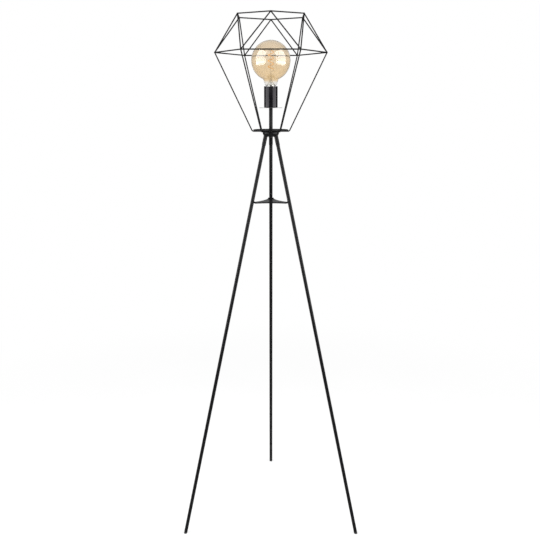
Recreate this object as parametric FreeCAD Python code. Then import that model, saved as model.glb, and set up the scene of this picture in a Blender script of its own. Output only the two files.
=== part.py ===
import FreeCAD, Part
import math
import os

# Floor lamp on a tripod of steel tubes, with an open wire cage round one large globe bulb.
# Millimetres, Z up, the floor at Z = 0, the front towards -Y.
# The sizes below drive the model, and every piece takes its place from them.

# Tripod
FOOT_CIRCLE_RADIUS = 326.0    # lamp axis to where a leg's centre line meets the floor
LEG_TOP_RADIUS = 19.6         # lamp axis to a leg's centre line, level with the hub's underside
HUB_UNDERSIDE_HEIGHT = 1286.0
LEG_DIAMETER = 11.0
LEG_WALL = 1.2
LEG_NAMES = ("back", "left", "right")    # evenly round the lamp axis, the first at +Y
FOOT_HEAD_LENGTH = 5.0        # along the leg, from the tube's end to the floor
FOOT_SPIGOT_LENGTH = 14.0
STUB_DIAMETER = 12.4
STUB_LENGTH = 26.0            # along the leg, below the hub's underside
STUB_EDGE = 0.5
STUD_DIAMETER = 6.0
STUD_GRIP = 12.0              # length of stud held in the stub, and in the leg's insert
INSERT_LENGTH = 14.0
BLIND_HOLE_SPARE = 1.0

# Brace plate between the legs
BRACE_HEIGHT = 1083.5         # underside of the plate
BRACE_THICKNESS = 3.0
BRACE_TIP_WIDTH = 20.0
BRACE_SIDE_BOW = 8.0          # how far each side of the plate is drawn in at its middle
BRACE_LIP_RISE = 4.5          # the turned-up lip at each tip, above the plate
BRACE_LIP_THICKNESS = 2.0
BRACE_SCREW_DIAMETER = 3.0
BRACE_SCREW_REACH = 2.5       # past the lip's face, through the wall of the leg
BRACE_SCREW_HEAD_DIAMETER = 5.0
BRACE_SCREW_HEAD_HEIGHT = 1.6

# Hub
HUB_DIAMETER = 51.0
BOWL_DEPTH = 14.0
BOWL_RIM_HEIGHT = 1.5
BOWL_SIDE_ARC = 10.0
BOWL_WALL = 1.6
HUB_PLATE_THICKNESS = 2.0
BUSHING_BORE = 7.2            # takes a round mains cord
BUSHING_WALL = 1.6
BUSHING_FLANGE_WIDTH = 1.6
BUSHING_FLANGE_THICKNESS = 1.2

# Threaded tube through hub, cage and lampholder, with its nuts
PIPE_DIAMETER = 10.0
PIPE_BORE = 8.0
PIPE_HOLE_CLEARANCE = 0.15    # radial, in every plate that it passes through
PIPE_END_SPARE = 2.0          # past the nut at each end
NUT_ACROSS_FLATS = 14.0
NUT_THICKNESS = 4.0

# Cage
WIRE_DIAMETER = 3.8
CENTRE_PLATE_DIAMETER = 47.0
CENTRE_PLATE_THICKNESS = 2.0
SPOKE_INNER_RADIUS = 12.0
STAY_FOOT_RADIUS = 57.5       # where the lines of a stay and of its spoke cross
STAY_BEND_RADIUS = 7.0
WAIST_RISE = 235.6            # waist hexagon above the spokes
WAIST_RADIUS = 171.0          # lamp axis to a corner
CROWN_RISE = 106.8            # top hexagon above the waist
TOP_RADIUS = 113.0
CAGE_SIDES = 6

# Stem, disc and lampholder
STEM_DIAMETER = 11.5
STEM_LENGTH = 67.0
DISC_DIAMETER = 72.0
DISC_THICKNESS = 1.0
CUP_HEIGHT = 64.0
CUP_WALL = 1.0
CUP_EDGE_RADIUS = 2.0
STRAP_THICKNESS = 1.5
STRAP_WIDTH = 14.0
STRAP_SCREW_SPACING = 26.0
STRAP_ARM_CLEARANCE = 2.4     # between an arm of the strap and the cup's wall
SMALL_SCREW_DIAMETER = 3.0
SMALL_SCREW_HEAD_DIAMETER = 5.4
SMALL_SCREW_HEAD_HEIGHT = 1.8
SMALL_SCREW_GRIP = 6.5
BODY_WALL = 5.2               # of the insulating body, round the threaded shell
BODY_CLEARANCE = 0.8          # between the insulating body and the cup's wall
BODY_RIM_DROP = 2.4           # top of the body below the cup's rim
SHELL_WALL = 0.5
SHELL_RIM_DROP = 4.0          # top of the threaded shell below the top of the body
WEB_THICKNESS = 7.5           # floor of the body, under the bulb
POCKET_WIDTH = 8.0            # slot in the underside of the body, for the terminals
POCKET_DEPTH = 6.5
TERMINAL_LENGTH = 6.0
TERMINAL_WIDTH = 7.0
TERMINAL_HEIGHT = 5.4
TERMINAL_BORE = 3.0
TERMINAL_SCREW_DIAMETER = 2.5
TERMINAL_SCREW_HEAD_DIAMETER = 4.2
TERMINAL_SCREW_HEAD_HEIGHT = 1.2
CONTACT_STRIP_THICKNESS = 0.6
CONTACT_STRIP_WIDTH = 4.0

# Sprung contact under the bulb
PLUNGER_HEAD_DIAMETER = 8.0
PLUNGER_HEAD_THICKNESS = 2.0
PLUNGER_HEAD_CLEARANCE = 0.3  # radial, in the spring's hole
PLUNGER_HEAD_RISE = 0.9       # underside of the head above the floor of the well
PLUNGER_SHANK_DIAMETER = 3.0
PLUNGER_SHANK_CLEARANCE = 0.09
PLUNGER_END_SPARE = 0.5       # shank showing below its clip
PLUNGER_TRAVEL = 1.5
PLUNGER_GAP = 0.3             # below the bulb's tip contact
CLIP_DIAMETER = 6.0
CLIP_THICKNESS = 0.8
CLIP_PLAY = 0.3               # between the clip and the strip above it
CONTACT_SPRING_WIRE = 0.6
CONTACT_SPRING_DIAMETER = 6.2
CONTACT_SPRING_TURNS = 3
CONTACT_SPRING_SPARE = 0.5    # left in the spring when the contact is pressed home

# Bulb
GLOBE_DIAMETER = 120.0
GLASS_WALL = 1.0
BULB_LENGTH = 162.5           # tip contact to the top of the globe
NECK_SHOULDER_RADIUS = 18.6   # radius of the glass at the bottom of the neck
NECK_TAPER = 18.0             # degrees, the neck widening upwards
NECK_FILLET = 4.0             # between neck and globe
SHOULDER_ARC = 5.0
CAP_PROUD = 1.8               # cap showing above the cup's rim
CAP_RADIUS = 13.2             # crest of the screw cap's thread
CAP_THREAD_DEPTH = 0.8
CAP_THREAD_PITCH = 3.63
CAP_THREAD_TURNS = 4
CAP_SKIRT = 5.4
CAP_WALL = 0.4
CAP_CLEARANCE = 0.3           # radial, between the cap and the threaded shell
CAP_TIP_RADIUS = 4.6
CAP_TIP_THICKNESS = 1.8
CAP_TIP_EDGE = 0.6
INSULATOR_CONE_HEIGHT = 5.4
INSULATOR_CONE_RADIUS = 5.4
INSULATOR_PLUG_HEIGHT = 2.0
FILAMENT_DIAMETER = 2.4
FILAMENT_COIL_RADIUS = 8.55   # axis to the tube's centre line
FILAMENT_PITCH = 17.0
FILAMENT_QUARTER_TURNS = 13
FILAMENT_BOTTOM = 26.5        # lowest point of the coil's centre line below the globe's centre
LEAD_DIAMETER = 1.0
LEAD_STRAIGHT = 4.0
LEAD_BEND = 1.6
LEAD_SPACING = 3.2
LEAD_FALL = 4.3               # a lead's rise or fall on its way in to the bulb's axis
MOUNT_HEIGHT = 24.5           # glass mount, from the floor of the neck to its tip
MOUNT_RADIUS = 3.4
MOUNT_TIP_RADIUS = 2.4
MOUNT_PRESS_HEIGHT = 8.0
MOUNT_PRESS_FLOOR = 2.0       # solid glass under the pressed part
DRIVER_BOARD_RADIUS = 10.5
DRIVER_BOARD_THICKNESS = 1.2
DRIVER_BOARD_DROP = 6.0       # below the glass neck's lower end
DRIVER_CAN_RADIUS = 3.0
DRIVER_CAN_LENGTH = 6.0
DRIVER_CHIP_WIDTH = 4.0
DRIVER_CHIP_HEIGHT = 2.0
DRIVER_PART_OFFSET = 5.25     # bulb's axis to the middle of the can, and of the chip

FIT = 0.03                    # radial clearance of pieces that are screwed or pushed together

Vector = FreeCAD.Vector
UP = Vector(0, 0, 1)

# Sizes and heights that follow
SHELL_INNER_RADIUS = CAP_RADIUS + CAP_CLEARANCE
SHELL_OUTER_RADIUS = SHELL_INNER_RADIUS + SHELL_WALL
BODY_RADIUS = SHELL_OUTER_RADIUS + BODY_WALL
CUP_DIAMETER = 2 * (BODY_RADIUS + BODY_CLEARANCE + CUP_WALL)
POCKET_HALF_LENGTH = SHELL_OUTER_RADIUS
SPRING_SOLID_HEIGHT = (CONTACT_SPRING_TURNS + 2) * CONTACT_SPRING_WIRE
CONTACT_SPRING_HEIGHT = PLUNGER_TRAVEL + SPRING_SOLID_HEIGHT + CONTACT_SPRING_SPARE
BAR_SPARE = 3 * WIRE_DIAMETER
HUB_PLATE_BOTTOM = HUB_UNDERSIDE_HEIGHT + BOWL_DEPTH
HUB_PLATE_TOP = HUB_PLATE_BOTTOM + HUB_PLATE_THICKNESS
SPOKE_HEIGHT = HUB_PLATE_TOP + WIRE_DIAMETER / 2
CENTRE_PLATE_BOTTOM = SPOKE_HEIGHT + WIRE_DIAMETER / 2
CENTRE_PLATE_TOP = CENTRE_PLATE_BOTTOM + CENTRE_PLATE_THICKNESS
WAIST_HEIGHT = SPOKE_HEIGHT + WAIST_RISE
TOP_HEIGHT = WAIST_HEIGHT + CROWN_RISE
DISC_BOTTOM = CENTRE_PLATE_TOP + STEM_LENGTH
CUP_BOTTOM = DISC_BOTTOM + DISC_THICKNESS
CUP_FLOOR = CUP_BOTTOM + CUP_WALL
CUP_TOP = CUP_BOTTOM + CUP_HEIGHT
BODY_TOP = CUP_TOP - BODY_RIM_DROP
CAP_TOP = CUP_TOP + CAP_PROUD
CAP_THREAD_BOTTOM = CAP_TOP - CAP_SKIRT - CAP_THREAD_PITCH / 4 - CAP_THREAD_TURNS * CAP_THREAD_PITCH
BULB_TIP = CAP_THREAD_BOTTOM - INSULATOR_CONE_HEIGHT - CAP_TIP_THICKNESS
GLOBE_CENTRE = BULB_TIP + BULB_LENGTH - GLOBE_DIAMETER / 2
PLUNGER_TOP = BULB_TIP - PLUNGER_GAP
SPRING_SEAT = PLUNGER_TOP - PLUNGER_HEAD_THICKNESS - CONTACT_SPRING_HEIGHT
WELL_FLOOR = PLUNGER_TOP - PLUNGER_HEAD_THICKNESS - PLUNGER_HEAD_RISE
SHELL_TOP = BODY_TOP - SHELL_RIM_DROP
WEB_BOTTOM = WELL_FLOOR - WEB_THICKNESS
BODY_BOTTOM = WEB_BOTTOM - POCKET_DEPTH
TERMINAL_TOP = WEB_BOTTOM - CONTACT_STRIP_THICKNESS
DRIVER_BOARD_BOTTOM = CAP_TOP - CAP_SKIRT - DRIVER_BOARD_DROP
DRIVER_BOARD_TOP = DRIVER_BOARD_BOTTOM + DRIVER_BOARD_THICKNESS
PIPE_BOTTOM = HUB_PLATE_BOTTOM - NUT_THICKNESS - PIPE_END_SPARE
PIPE_TOP = CUP_FLOOR + STRAP_THICKNESS + NUT_THICKNESS + PIPE_END_SPARE
PIPE_HOLE_RADIUS = PIPE_DIAMETER / 2 + PIPE_HOLE_CLEARANCE
BUSHING_NECK_RADIUS = BUSHING_BORE / 2 + BUSHING_WALL
LEG_TILT = math.atan2(FOOT_CIRCLE_RADIUS - LEG_TOP_RADIUS, HUB_UNDERSIDE_HEIGHT)
LEG_ANGLES = {name: 90.0 + 360.0 / len(LEG_NAMES) * i for i, name in enumerate(LEG_NAMES)}


def axis_offset():
    """The lamp axis lies forward of the middle of the tripod's footprint, by half the
    difference between the reach of the back foot and that of the two front feet."""
    radius = LEG_DIAMETER / 2
    along = radius / math.cos(LEG_TILT)
    back_reach = FOOT_CIRCLE_RADIUS + along
    front_reach = FOOT_CIRCLE_RADIUS / 2 + math.hypot(along / 2, radius * math.cos(math.pi / 6))
    return -(back_reach - front_reach) / 2


AXIS_Y = axis_offset()


def polar(radius, degrees, height):
    """A point at a radius and an angle from the lamp axis, at a height above the floor."""
    angle = math.radians(degrees)
    return Vector(radius * math.cos(angle), radius * math.sin(angle), height)


def rod(start, end, radius):
    """A round bar between two points."""
    run = end - start
    return Part.makeCylinder(radius, run.Length, start, run)


def ring(outer, inner, bottom, height):
    """A washer or a short tube on the lamp axis."""
    base = Vector(0, 0, bottom)
    return Part.makeCylinder(outer, height, base).cut(Part.makeCylinder(inner, height, base))


def block(low, high):
    """A box between two corners."""
    size = high - low
    return Part.makeBox(size.x, size.y, size.z, low)


def stem_nut(bottom):
    """A hexagon nut on the threaded tube."""
    corner = NUT_ACROSS_FLATS / 2 / math.cos(math.pi / 6)
    points = [polar(corner, 60 * i, bottom) for i in range(7)]
    body = Part.Face(Part.makePolygon(points)).extrude(Vector(0, 0, NUT_THICKNESS))
    return body.cut(Part.makeCylinder(PIPE_DIAMETER / 2 + FIT, NUT_THICKNESS, Vector(0, 0, bottom)))


def turned(edges):
    """A solid of revolution about the lamp axis from edges that close an outline in the XZ plane."""
    face = Part.Face(Part.Wire(Part.__sortEdges__(edges)))
    return face.revolve(Vector(0, 0, 0), UP, 360)


def line(x1, z1, x2, z2):
    """A straight edge in the XZ plane."""
    return Part.makeLine(Vector(x1, 0, z1), Vector(x2, 0, z2))


def arc_about(cx, cz, radius, start, end):
    """An arc in the XZ plane from one angle to another, in radians, about a centre."""
    def on_arc(angle):
        return Vector(cx + radius * math.cos(angle), 0, cz + radius * math.sin(angle))
    return Part.Arc(on_arc(start), on_arc((start + end) / 2), on_arc(end)).toShape()


def rounded_path(points, radius):
    """Straight runs between points, with a tangent arc of one radius at each inner point."""
    edges = []
    here = points[0]
    for before, corner, after in zip(points, points[1:], points[2:]):
        back = (before - corner).normalize()
        ahead = (after - corner).normalize()
        half_turn = (math.pi - back.getAngle(ahead)) / 2
        setback = radius * math.tan(half_turn)
        enter = corner + back * setback
        leave = corner + ahead * setback
        inward = (back + ahead).normalize()
        middle = corner + inward * (radius / math.cos(half_turn) - radius)
        edges.append(Part.LineSegment(here, enter).toShape())
        edges.append(Part.Arc(enter, middle, leave).toShape())
        here = leave
    edges.append(Part.LineSegment(here, points[-1]).toShape())
    return edges


def bent_rod(edges, start, direction, radius):
    """A round bar carried along tangent lines and arcs."""
    section = Part.Wire(Part.makeCircle(radius, start, direction))
    return Part.Wire(edges).makePipeShell([section], True, False)


def leg_line(degrees):
    """The top of a leg's centre line, level with the hub's underside, and its direction down."""
    top = polar(LEG_TOP_RADIUS, degrees, HUB_UNDERSIDE_HEIGHT)
    foot = polar(FOOT_CIRCLE_RADIUS, degrees, 0)
    return top, foot, (foot - top).normalize()


def leg_radius_at(height):
    """Distance from the lamp axis to a leg's centre line at a height above the floor."""
    share = height / HUB_UNDERSIDE_HEIGHT
    return FOOT_CIRCLE_RADIUS + (LEG_TOP_RADIUS - FOOT_CIRCLE_RADIUS) * share


def leg_tube(degrees):
    """One leg: a straight steel tube from the stub on the hub to the foot plug."""
    top, foot, down = leg_line(degrees)
    start = top + down * STUB_LENGTH
    end = foot - down * FOOT_HEAD_LENGTH
    outside = rod(start, end, LEG_DIAMETER / 2)
    tube = outside.cut(rod(start, end, LEG_DIAMETER / 2 - LEG_WALL))
    return tube.cut(brace_screw(degrees))


def foot_plug(degrees):
    """A plug pushed into the tube, with a head cut level with the floor."""
    top, foot, down = leg_line(degrees)
    neck = foot - down * FOOT_HEAD_LENGTH
    head = rod(neck, foot + down * LEG_DIAMETER, LEG_DIAMETER / 2)
    spigot = rod(neck - down * FOOT_SPIGOT_LENGTH, neck, LEG_DIAMETER / 2 - LEG_WALL - FIT)
    reach = FOOT_CIRCLE_RADIUS + 2 * LEG_DIAMETER
    below_floor = block(Vector(-reach, -reach, -2 * LEG_DIAMETER), Vector(reach, reach, 0))
    return head.fuse(spigot).cut(below_floor).removeSplitter()


def leg_stubs():
    """Three turned stubs under the hub bowl, drilled for the studs and trimmed to the bowl."""
    stubs = []
    for degrees in LEG_ANGLES.values():
        top, foot, down = leg_line(degrees)
        end = top + down * STUB_LENGTH
        stub = rod(top - down * (BOWL_DEPTH - BOWL_RIM_HEIGHT), end, STUB_DIAMETER / 2)
        rims = [rim for rim in stub.Edges if rim.Closed and rim.CenterOfMass.distanceToPoint(end) < FIT]
        stub = stub.makeChamfer(STUB_EDGE, rims)
        depth = STUD_GRIP + BLIND_HOLE_SPARE
        stub = stub.cut(rod(end - down * depth, end, STUD_DIAMETER / 2 + FIT))
        stubs.append(stub.cut(bowl_filled(0)))
    return stubs


def leg_studs():
    """Three threaded studs, half in the stubs and half in the inserts of the legs."""
    studs = []
    for degrees in LEG_ANGLES.values():
        top, foot, down = leg_line(degrees)
        joint = top + down * STUB_LENGTH
        studs.append(rod(joint - down * STUD_GRIP, joint + down * STUD_GRIP, STUD_DIAMETER / 2))
    return studs


def leg_inserts():
    """Three threaded inserts pressed into the tops of the leg tubes."""
    inserts = []
    for degrees in LEG_ANGLES.values():
        top, foot, down = leg_line(degrees)
        start = top + down * STUB_LENGTH
        end = start + down * INSERT_LENGTH
        sleeve = rod(start, end, LEG_DIAMETER / 2 - LEG_WALL - FIT)
        inserts.append(sleeve.cut(rod(start, end, STUD_DIAMETER / 2 + FIT)))
    return inserts


def lip_frame(degrees):
    """The middle of a lip's outer face, where it lies along the leg, with its three directions."""
    top, foot, down = leg_line(degrees)
    middle_height = BRACE_HEIGHT + (BRACE_THICKNESS + BRACE_LIP_RISE) / 2
    on_leg = polar(leg_radius_at(middle_height), degrees, middle_height)
    sideways = Vector(-math.sin(math.radians(degrees)), math.cos(math.radians(degrees)), 0)
    outward = sideways.cross(down) * -1
    if outward.dot(polar(1, degrees, 0)) < 0:
        outward = outward * -1
    face = on_leg - outward * (LEG_DIAMETER / 2)
    return face, outward.normalize(), sideways, down


def brace_screw(degrees):
    """A screw through the lip and the wall of the leg, its head on the inside of the lip."""
    face, outward, sideways, down = lip_frame(degrees)
    seat = face - outward * BRACE_LIP_THICKNESS
    shank = rod(seat, face + outward * BRACE_SCREW_REACH, BRACE_SCREW_DIAMETER / 2)
    head = rod(seat - outward * BRACE_SCREW_HEAD_HEIGHT, seat, BRACE_SCREW_HEAD_DIAMETER / 2)
    return shank.fuse(head).removeSplitter()


def brace_plate():
    """A three-cornered plate with hollow sides and a turned-up lip along each leg."""
    half = BRACE_TIP_WIDTH / 2
    inner_radius = leg_radius_at(BRACE_HEIGHT + BRACE_THICKNESS) - LEG_DIAMETER / 2 / math.cos(LEG_TILT)
    tip_radius = inner_radius - BRACE_LIP_THICKNESS / 2
    corners = []
    for degrees in sorted(LEG_ANGLES.values()):
        sideways = Vector(-math.sin(math.radians(degrees)), math.cos(math.radians(degrees)), 0)
        tip = polar(tip_radius, degrees, BRACE_HEIGHT)
        corners.append(tip - sideways * half)
        corners.append(tip + sideways * half)
    edges = []
    for i in range(0, len(corners), 2):
        edges.append(Part.makeLine(corners[i], corners[i + 1]))
        start, end = corners[i + 1], corners[(i + 2) % len(corners)]
        middle = (start + end) * 0.5
        inward = Vector(-middle.x, -middle.y, 0).normalize()
        edges.append(Part.Arc(start, middle + inward * BRACE_SIDE_BOW, end).toShape())
    plate = Part.Face(Part.Wire(edges)).extrude(Vector(0, 0, BRACE_THICKNESS))
    half_height = (BRACE_THICKNESS + BRACE_LIP_RISE) / 2
    for degrees in LEG_ANGLES.values():
        face, outward, sideways, down = lip_frame(degrees)
        corner = face - sideways * half + down * half_height
        outline = [corner, corner + sideways * BRACE_TIP_WIDTH]
        outline.append(outline[1] - down * (2 * half_height))
        outline.append(corner - down * (2 * half_height))
        lip = Part.Face(Part.makePolygon(outline + outline[:1])).extrude(outward * -BRACE_LIP_THICKNESS)
        plate = plate.fuse(lip)
    plate = plate.removeSplitter()
    for degrees in LEG_ANGLES.values():
        plate = plate.cut(brace_screw(degrees))
    return plate


def bowl_arcs(inset):
    """Centres, radii and meeting angle of the side arc and the bottom arc of the hub bowl."""
    side_x = HUB_DIAMETER / 2 - BOWL_SIDE_ARC
    side_z = HUB_PLATE_BOTTOM - BOWL_RIM_HEIGHT
    drop = BOWL_DEPTH - BOWL_RIM_HEIGHT
    bottom_radius = (side_x ** 2 + drop ** 2 - BOWL_SIDE_ARC ** 2) / (2 * (drop - BOWL_SIDE_ARC))
    bottom_z = HUB_UNDERSIDE_HEIGHT + bottom_radius
    meeting = math.atan2(side_z - bottom_z, side_x)
    return side_x, side_z, BOWL_SIDE_ARC - inset, bottom_z, bottom_radius - inset, meeting


def bowl_filled(inset):
    """The bowl's outer shape, or its inner shape when inset by the wall."""
    side_x, side_z, side_radius, bottom_z, bottom_radius, meeting = bowl_arcs(inset)
    return turned([
        line(0, HUB_PLATE_BOTTOM, side_x + side_radius, HUB_PLATE_BOTTOM),
        line(side_x + side_radius, HUB_PLATE_BOTTOM, side_x + side_radius, side_z),
        arc_about(side_x, side_z, side_radius, 0, meeting),
        arc_about(0, bottom_z, bottom_radius, meeting, -math.pi / 2),
        line(0, bottom_z - bottom_radius, 0, HUB_PLATE_BOTTOM),
    ])


def hub_bowl():
    """The pressed bowl that carries the legs, with a hole for the cord bushing."""
    hole = Part.makeCylinder(BUSHING_NECK_RADIUS + FIT, BOWL_DEPTH, Vector(0, 0, HUB_UNDERSIDE_HEIGHT))
    return bowl_filled(0).cut(bowl_filled(BOWL_WALL)).cut(hole)


def cord_bushing():
    """A lipped bushing in the bowl's hole, where a mains cord enters the stem."""
    bore = BUSHING_BORE / 2
    flange = BUSHING_NECK_RADIUS + BUSHING_FLANGE_WIDTH
    low = HUB_UNDERSIDE_HEIGHT - BUSHING_FLANGE_THICKNESS
    high = HUB_UNDERSIDE_HEIGHT + BOWL_WALL
    body = ring(BUSHING_NECK_RADIUS, bore, low, high + BUSHING_FLANGE_THICKNESS - low)
    lower_lip = ring(flange, bore, low, BUSHING_FLANGE_THICKNESS + BOWL_WALL / 2)
    upper_lip = ring(flange, bore, high, BUSHING_FLANGE_THICKNESS)
    lower_lip = lower_lip.cut(bowl_filled(0))
    upper_lip = upper_lip.common(bowl_filled(BOWL_WALL))
    return body.fuse(lower_lip).fuse(upper_lip).removeSplitter()


def plate_on_axis(diameter, bottom, thickness):
    """A round plate with a hole for the threaded tube."""
    return ring(diameter / 2, PIPE_HOLE_RADIUS, bottom, thickness)


def corner_points(radius, height, first_angle):
    """The corners of one hexagon of the cage."""
    step = 360.0 / CAGE_SIDES
    return [polar(radius, first_angle + step * i, height) for i in range(CAGE_SIDES)]


def mitred(bar, corner, direction, others):
    """Trim a bar at a corner by the plane half way between it and each bar that it meets."""
    size = 4 * BAR_SPARE
    for other in others:
        normal = (other - direction).normalize()
        cutter = Part.makeBox(size, size, size, Vector(-size / 2, -size / 2, 0))
        cutter.Placement = FreeCAD.Placement(corner, FreeCAD.Rotation(UP, normal))
        bar = bar.cut(cutter)
    return bar


def cage_bar(start, end, meets):
    """A straight bar of the cage, mitred against the bars that it meets at both ends."""
    along = (end - start).normalize()
    spare = along * BAR_SPARE
    bar = rod(start - spare, end + spare, WIRE_DIAMETER / 2)
    bar = mitred(bar, start, along, meets(start, along))
    return mitred(bar, end, along * -1, meets(end, along * -1))


def cage_lines():
    """End points of every straight bar of the cage, by node, with the stays' upper runs."""
    step = 360.0 / CAGE_SIDES
    waist = corner_points(WAIST_RADIUS, WAIST_HEIGHT, 0)
    top = corner_points(TOP_RADIUS, TOP_HEIGHT, step / 2)
    knees = corner_points(STAY_FOOT_RADIUS, SPOKE_HEIGHT, 0)
    following = [(i + 1) % CAGE_SIDES for i in range(CAGE_SIDES)]
    return {
        "cage_waist_ring": [(waist[i], waist[j]) for i, j in enumerate(following)],
        "cage_top_ring": [(top[i], top[j]) for i, j in enumerate(following)],
        "cage_crown_braces": [(waist[i], top[i]) for i in range(CAGE_SIDES)]
        + [(waist[j], top[i]) for i, j in enumerate(following)],
        "stay_runs": list(zip(waist, knees)),
    }


def cage_parts():
    """The two hexagons, the braces between them and the six stays, mitred where they meet."""
    lines = cage_lines()
    everything = [pair for group in lines.values() for pair in group]

    def meets(corner, own_direction):
        found = []
        for a, b in everything:
            for here, there in ((a, b), (b, a)):
                away = (there - here).normalize()
                if here.distanceToPoint(corner) < FIT and away.distanceToPoint(own_direction) > FIT:
                    found.append(away)
        return found

    parts = {}
    for name in ("cage_waist_ring", "cage_top_ring", "cage_crown_braces"):
        parts[name] = [cage_bar(a, b, meets) for a, b in lines[name]]
    parts["cage_stays"] = [cage_stay(corner, knee, meets) for corner, knee in lines["stay_runs"]]
    return parts


def cage_stay(corner, knee, meets):
    """A stay from a corner of the waist, bent inwards at its foot into a spoke under the plate."""
    down = (knee - corner).normalize()
    start = corner - down * BAR_SPARE
    inner = Vector(knee.x, knee.y, 0).normalize() * SPOKE_INNER_RADIUS + Vector(0, 0, SPOKE_HEIGHT)
    edges = rounded_path([start, knee, inner], STAY_BEND_RADIUS)
    stay = bent_rod(edges, start, down, WIRE_DIAMETER / 2)
    return mitred(stay, corner, down, meets(corner, down))


def cage_bottom_ring():
    """The round wire that lies on the spokes, inside the bends of the stays."""
    slope = math.atan2(WAIST_RISE, WAIST_RADIUS - STAY_FOOT_RADIUS)
    radius = STAY_FOOT_RADIUS - STAY_BEND_RADIUS * math.tan(slope / 2) - FIT
    return Part.makeTorus(radius, WIRE_DIAMETER / 2, Vector(0, 0, SPOKE_HEIGHT + WIRE_DIAMETER), UP)


def lower_rim(disc):
    """The lower circular edge of an upright cylinder."""
    rims = [edge for edge in disc.Edges if edge.Closed]
    return [min(rims, key=lambda edge: edge.CenterOfMass.z)]


def lampholder_cup():
    """The metal cup round the lampholder, open at the top, with a rounded lower edge."""
    outside = Part.makeCylinder(CUP_DIAMETER / 2, CUP_HEIGHT, Vector(0, 0, CUP_BOTTOM))
    outside = outside.makeFillet(CUP_EDGE_RADIUS, lower_rim(outside))
    inside = Part.makeCylinder(CUP_DIAMETER / 2 - CUP_WALL, CUP_HEIGHT, Vector(0, 0, CUP_FLOOR))
    hole = Part.makeCylinder(PIPE_HOLE_RADIUS, CUP_WALL, Vector(0, 0, CUP_BOTTOM))
    inside = inside.makeFillet(CUP_EDGE_RADIUS - CUP_WALL, lower_rim(inside))
    return outside.cut(inside).cut(hole)


def holder_strap():
    """A bent steel strap on the cup's floor that carries the insulating body on two screws."""
    arm = CUP_DIAMETER / 2 - CUP_WALL - STRAP_ARM_CLEARANCE
    half = STRAP_WIDTH / 2
    screw = STRAP_SCREW_SPACING / 2
    ear = screw - SMALL_SCREW_HEAD_DIAMETER / 2
    low = CUP_FLOOR
    strap = block(Vector(-arm, -half, low), Vector(arm, half, low + STRAP_THICKNESS))
    for side in (-1, 1):
        wall_x = sorted([side * arm, side * (arm - STRAP_THICKNESS)])
        ear_x = sorted([side * arm, side * ear])
        wall = block(Vector(wall_x[0], -half, low), Vector(wall_x[1], half, BODY_BOTTOM))
        seat = BODY_BOTTOM - STRAP_THICKNESS
        ledge = block(Vector(ear_x[0], -half, seat), Vector(ear_x[1], half, BODY_BOTTOM))
        strap = strap.fuse(wall).fuse(ledge)
        hole = Vector(side * screw, 0, seat)
        strap = strap.cut(Part.makeCylinder(SMALL_SCREW_DIAMETER / 2 + FIT, STRAP_THICKNESS, hole))
    strap = strap.removeSplitter()
    return strap.cut(Part.makeCylinder(PIPE_HOLE_RADIUS, STRAP_THICKNESS, Vector(0, 0, low)))


def strap_screw(side):
    """A screw up through an ear of the strap into the insulating body."""
    x = side * STRAP_SCREW_SPACING / 2
    seat = BODY_BOTTOM - STRAP_THICKNESS
    length = STRAP_THICKNESS + SMALL_SCREW_GRIP
    shank = Part.makeCylinder(SMALL_SCREW_DIAMETER / 2, length, Vector(x, 0, seat))
    head_base = Vector(x, 0, seat - SMALL_SCREW_HEAD_HEIGHT)
    head = Part.makeCylinder(SMALL_SCREW_HEAD_DIAMETER / 2, SMALL_SCREW_HEAD_HEIGHT, head_base)
    return shank.fuse(head).removeSplitter()


def terminal_pocket():
    """The slot in the underside of the body that holds the terminals and the contact strips."""
    half = POCKET_WIDTH / 2
    low = Vector(-half, -POCKET_HALF_LENGTH, BODY_BOTTOM)
    return block(low, Vector(half, POCKET_HALF_LENGTH, WEB_BOTTOM))


def side_strip_slot():
    """The groove in the body's bore that leads the side contact strip down to its terminal."""
    half = CONTACT_STRIP_WIDTH / 2 + FIT
    outer = SHELL_OUTER_RADIUS + CONTACT_STRIP_THICKNESS + FIT
    low = Vector(-half, -outer, BODY_BOTTOM)
    return block(low, Vector(half, -SHELL_OUTER_RADIUS + CONTACT_STRIP_THICKNESS, SHELL_TOP))


def holder_body():
    """The insulating body: a well for the threaded shell over a floor with the contacts."""
    well = SHELL_OUTER_RADIUS + FIT
    spring_hole = PLUNGER_HEAD_DIAMETER / 2 + PLUNGER_HEAD_CLEARANCE
    shank_hole = PLUNGER_SHANK_DIAMETER / 2 + PLUNGER_SHANK_CLEARANCE
    body = Part.makeCylinder(BODY_RADIUS, BODY_TOP - BODY_BOTTOM, Vector(0, 0, BODY_BOTTOM))
    body = body.cut(Part.makeCylinder(well, BODY_TOP - WELL_FLOOR, Vector(0, 0, WELL_FLOOR)))
    body = body.cut(Part.makeCylinder(spring_hole, WELL_FLOOR - SPRING_SEAT, Vector(0, 0, SPRING_SEAT)))
    body = body.cut(Part.makeCylinder(shank_hole, SPRING_SEAT - WEB_BOTTOM, Vector(0, 0, WEB_BOTTOM)))
    body = body.cut(terminal_pocket()).cut(side_strip_slot())
    for side in (-1, 1):
        hole = Vector(side * STRAP_SCREW_SPACING / 2, 0, BODY_BOTTOM)
        depth = SMALL_SCREW_GRIP + BLIND_HOLE_SPARE
        body = body.cut(Part.makeCylinder(SMALL_SCREW_DIAMETER / 2 + FIT, depth, hole))
    return body


def threaded_shell():
    """The metal shell in the body's well that takes the bulb's cap and feeds its side."""
    return ring(SHELL_OUTER_RADIUS, SHELL_INNER_RADIUS, WELL_FLOOR, SHELL_TOP - WELL_FLOOR)


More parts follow.
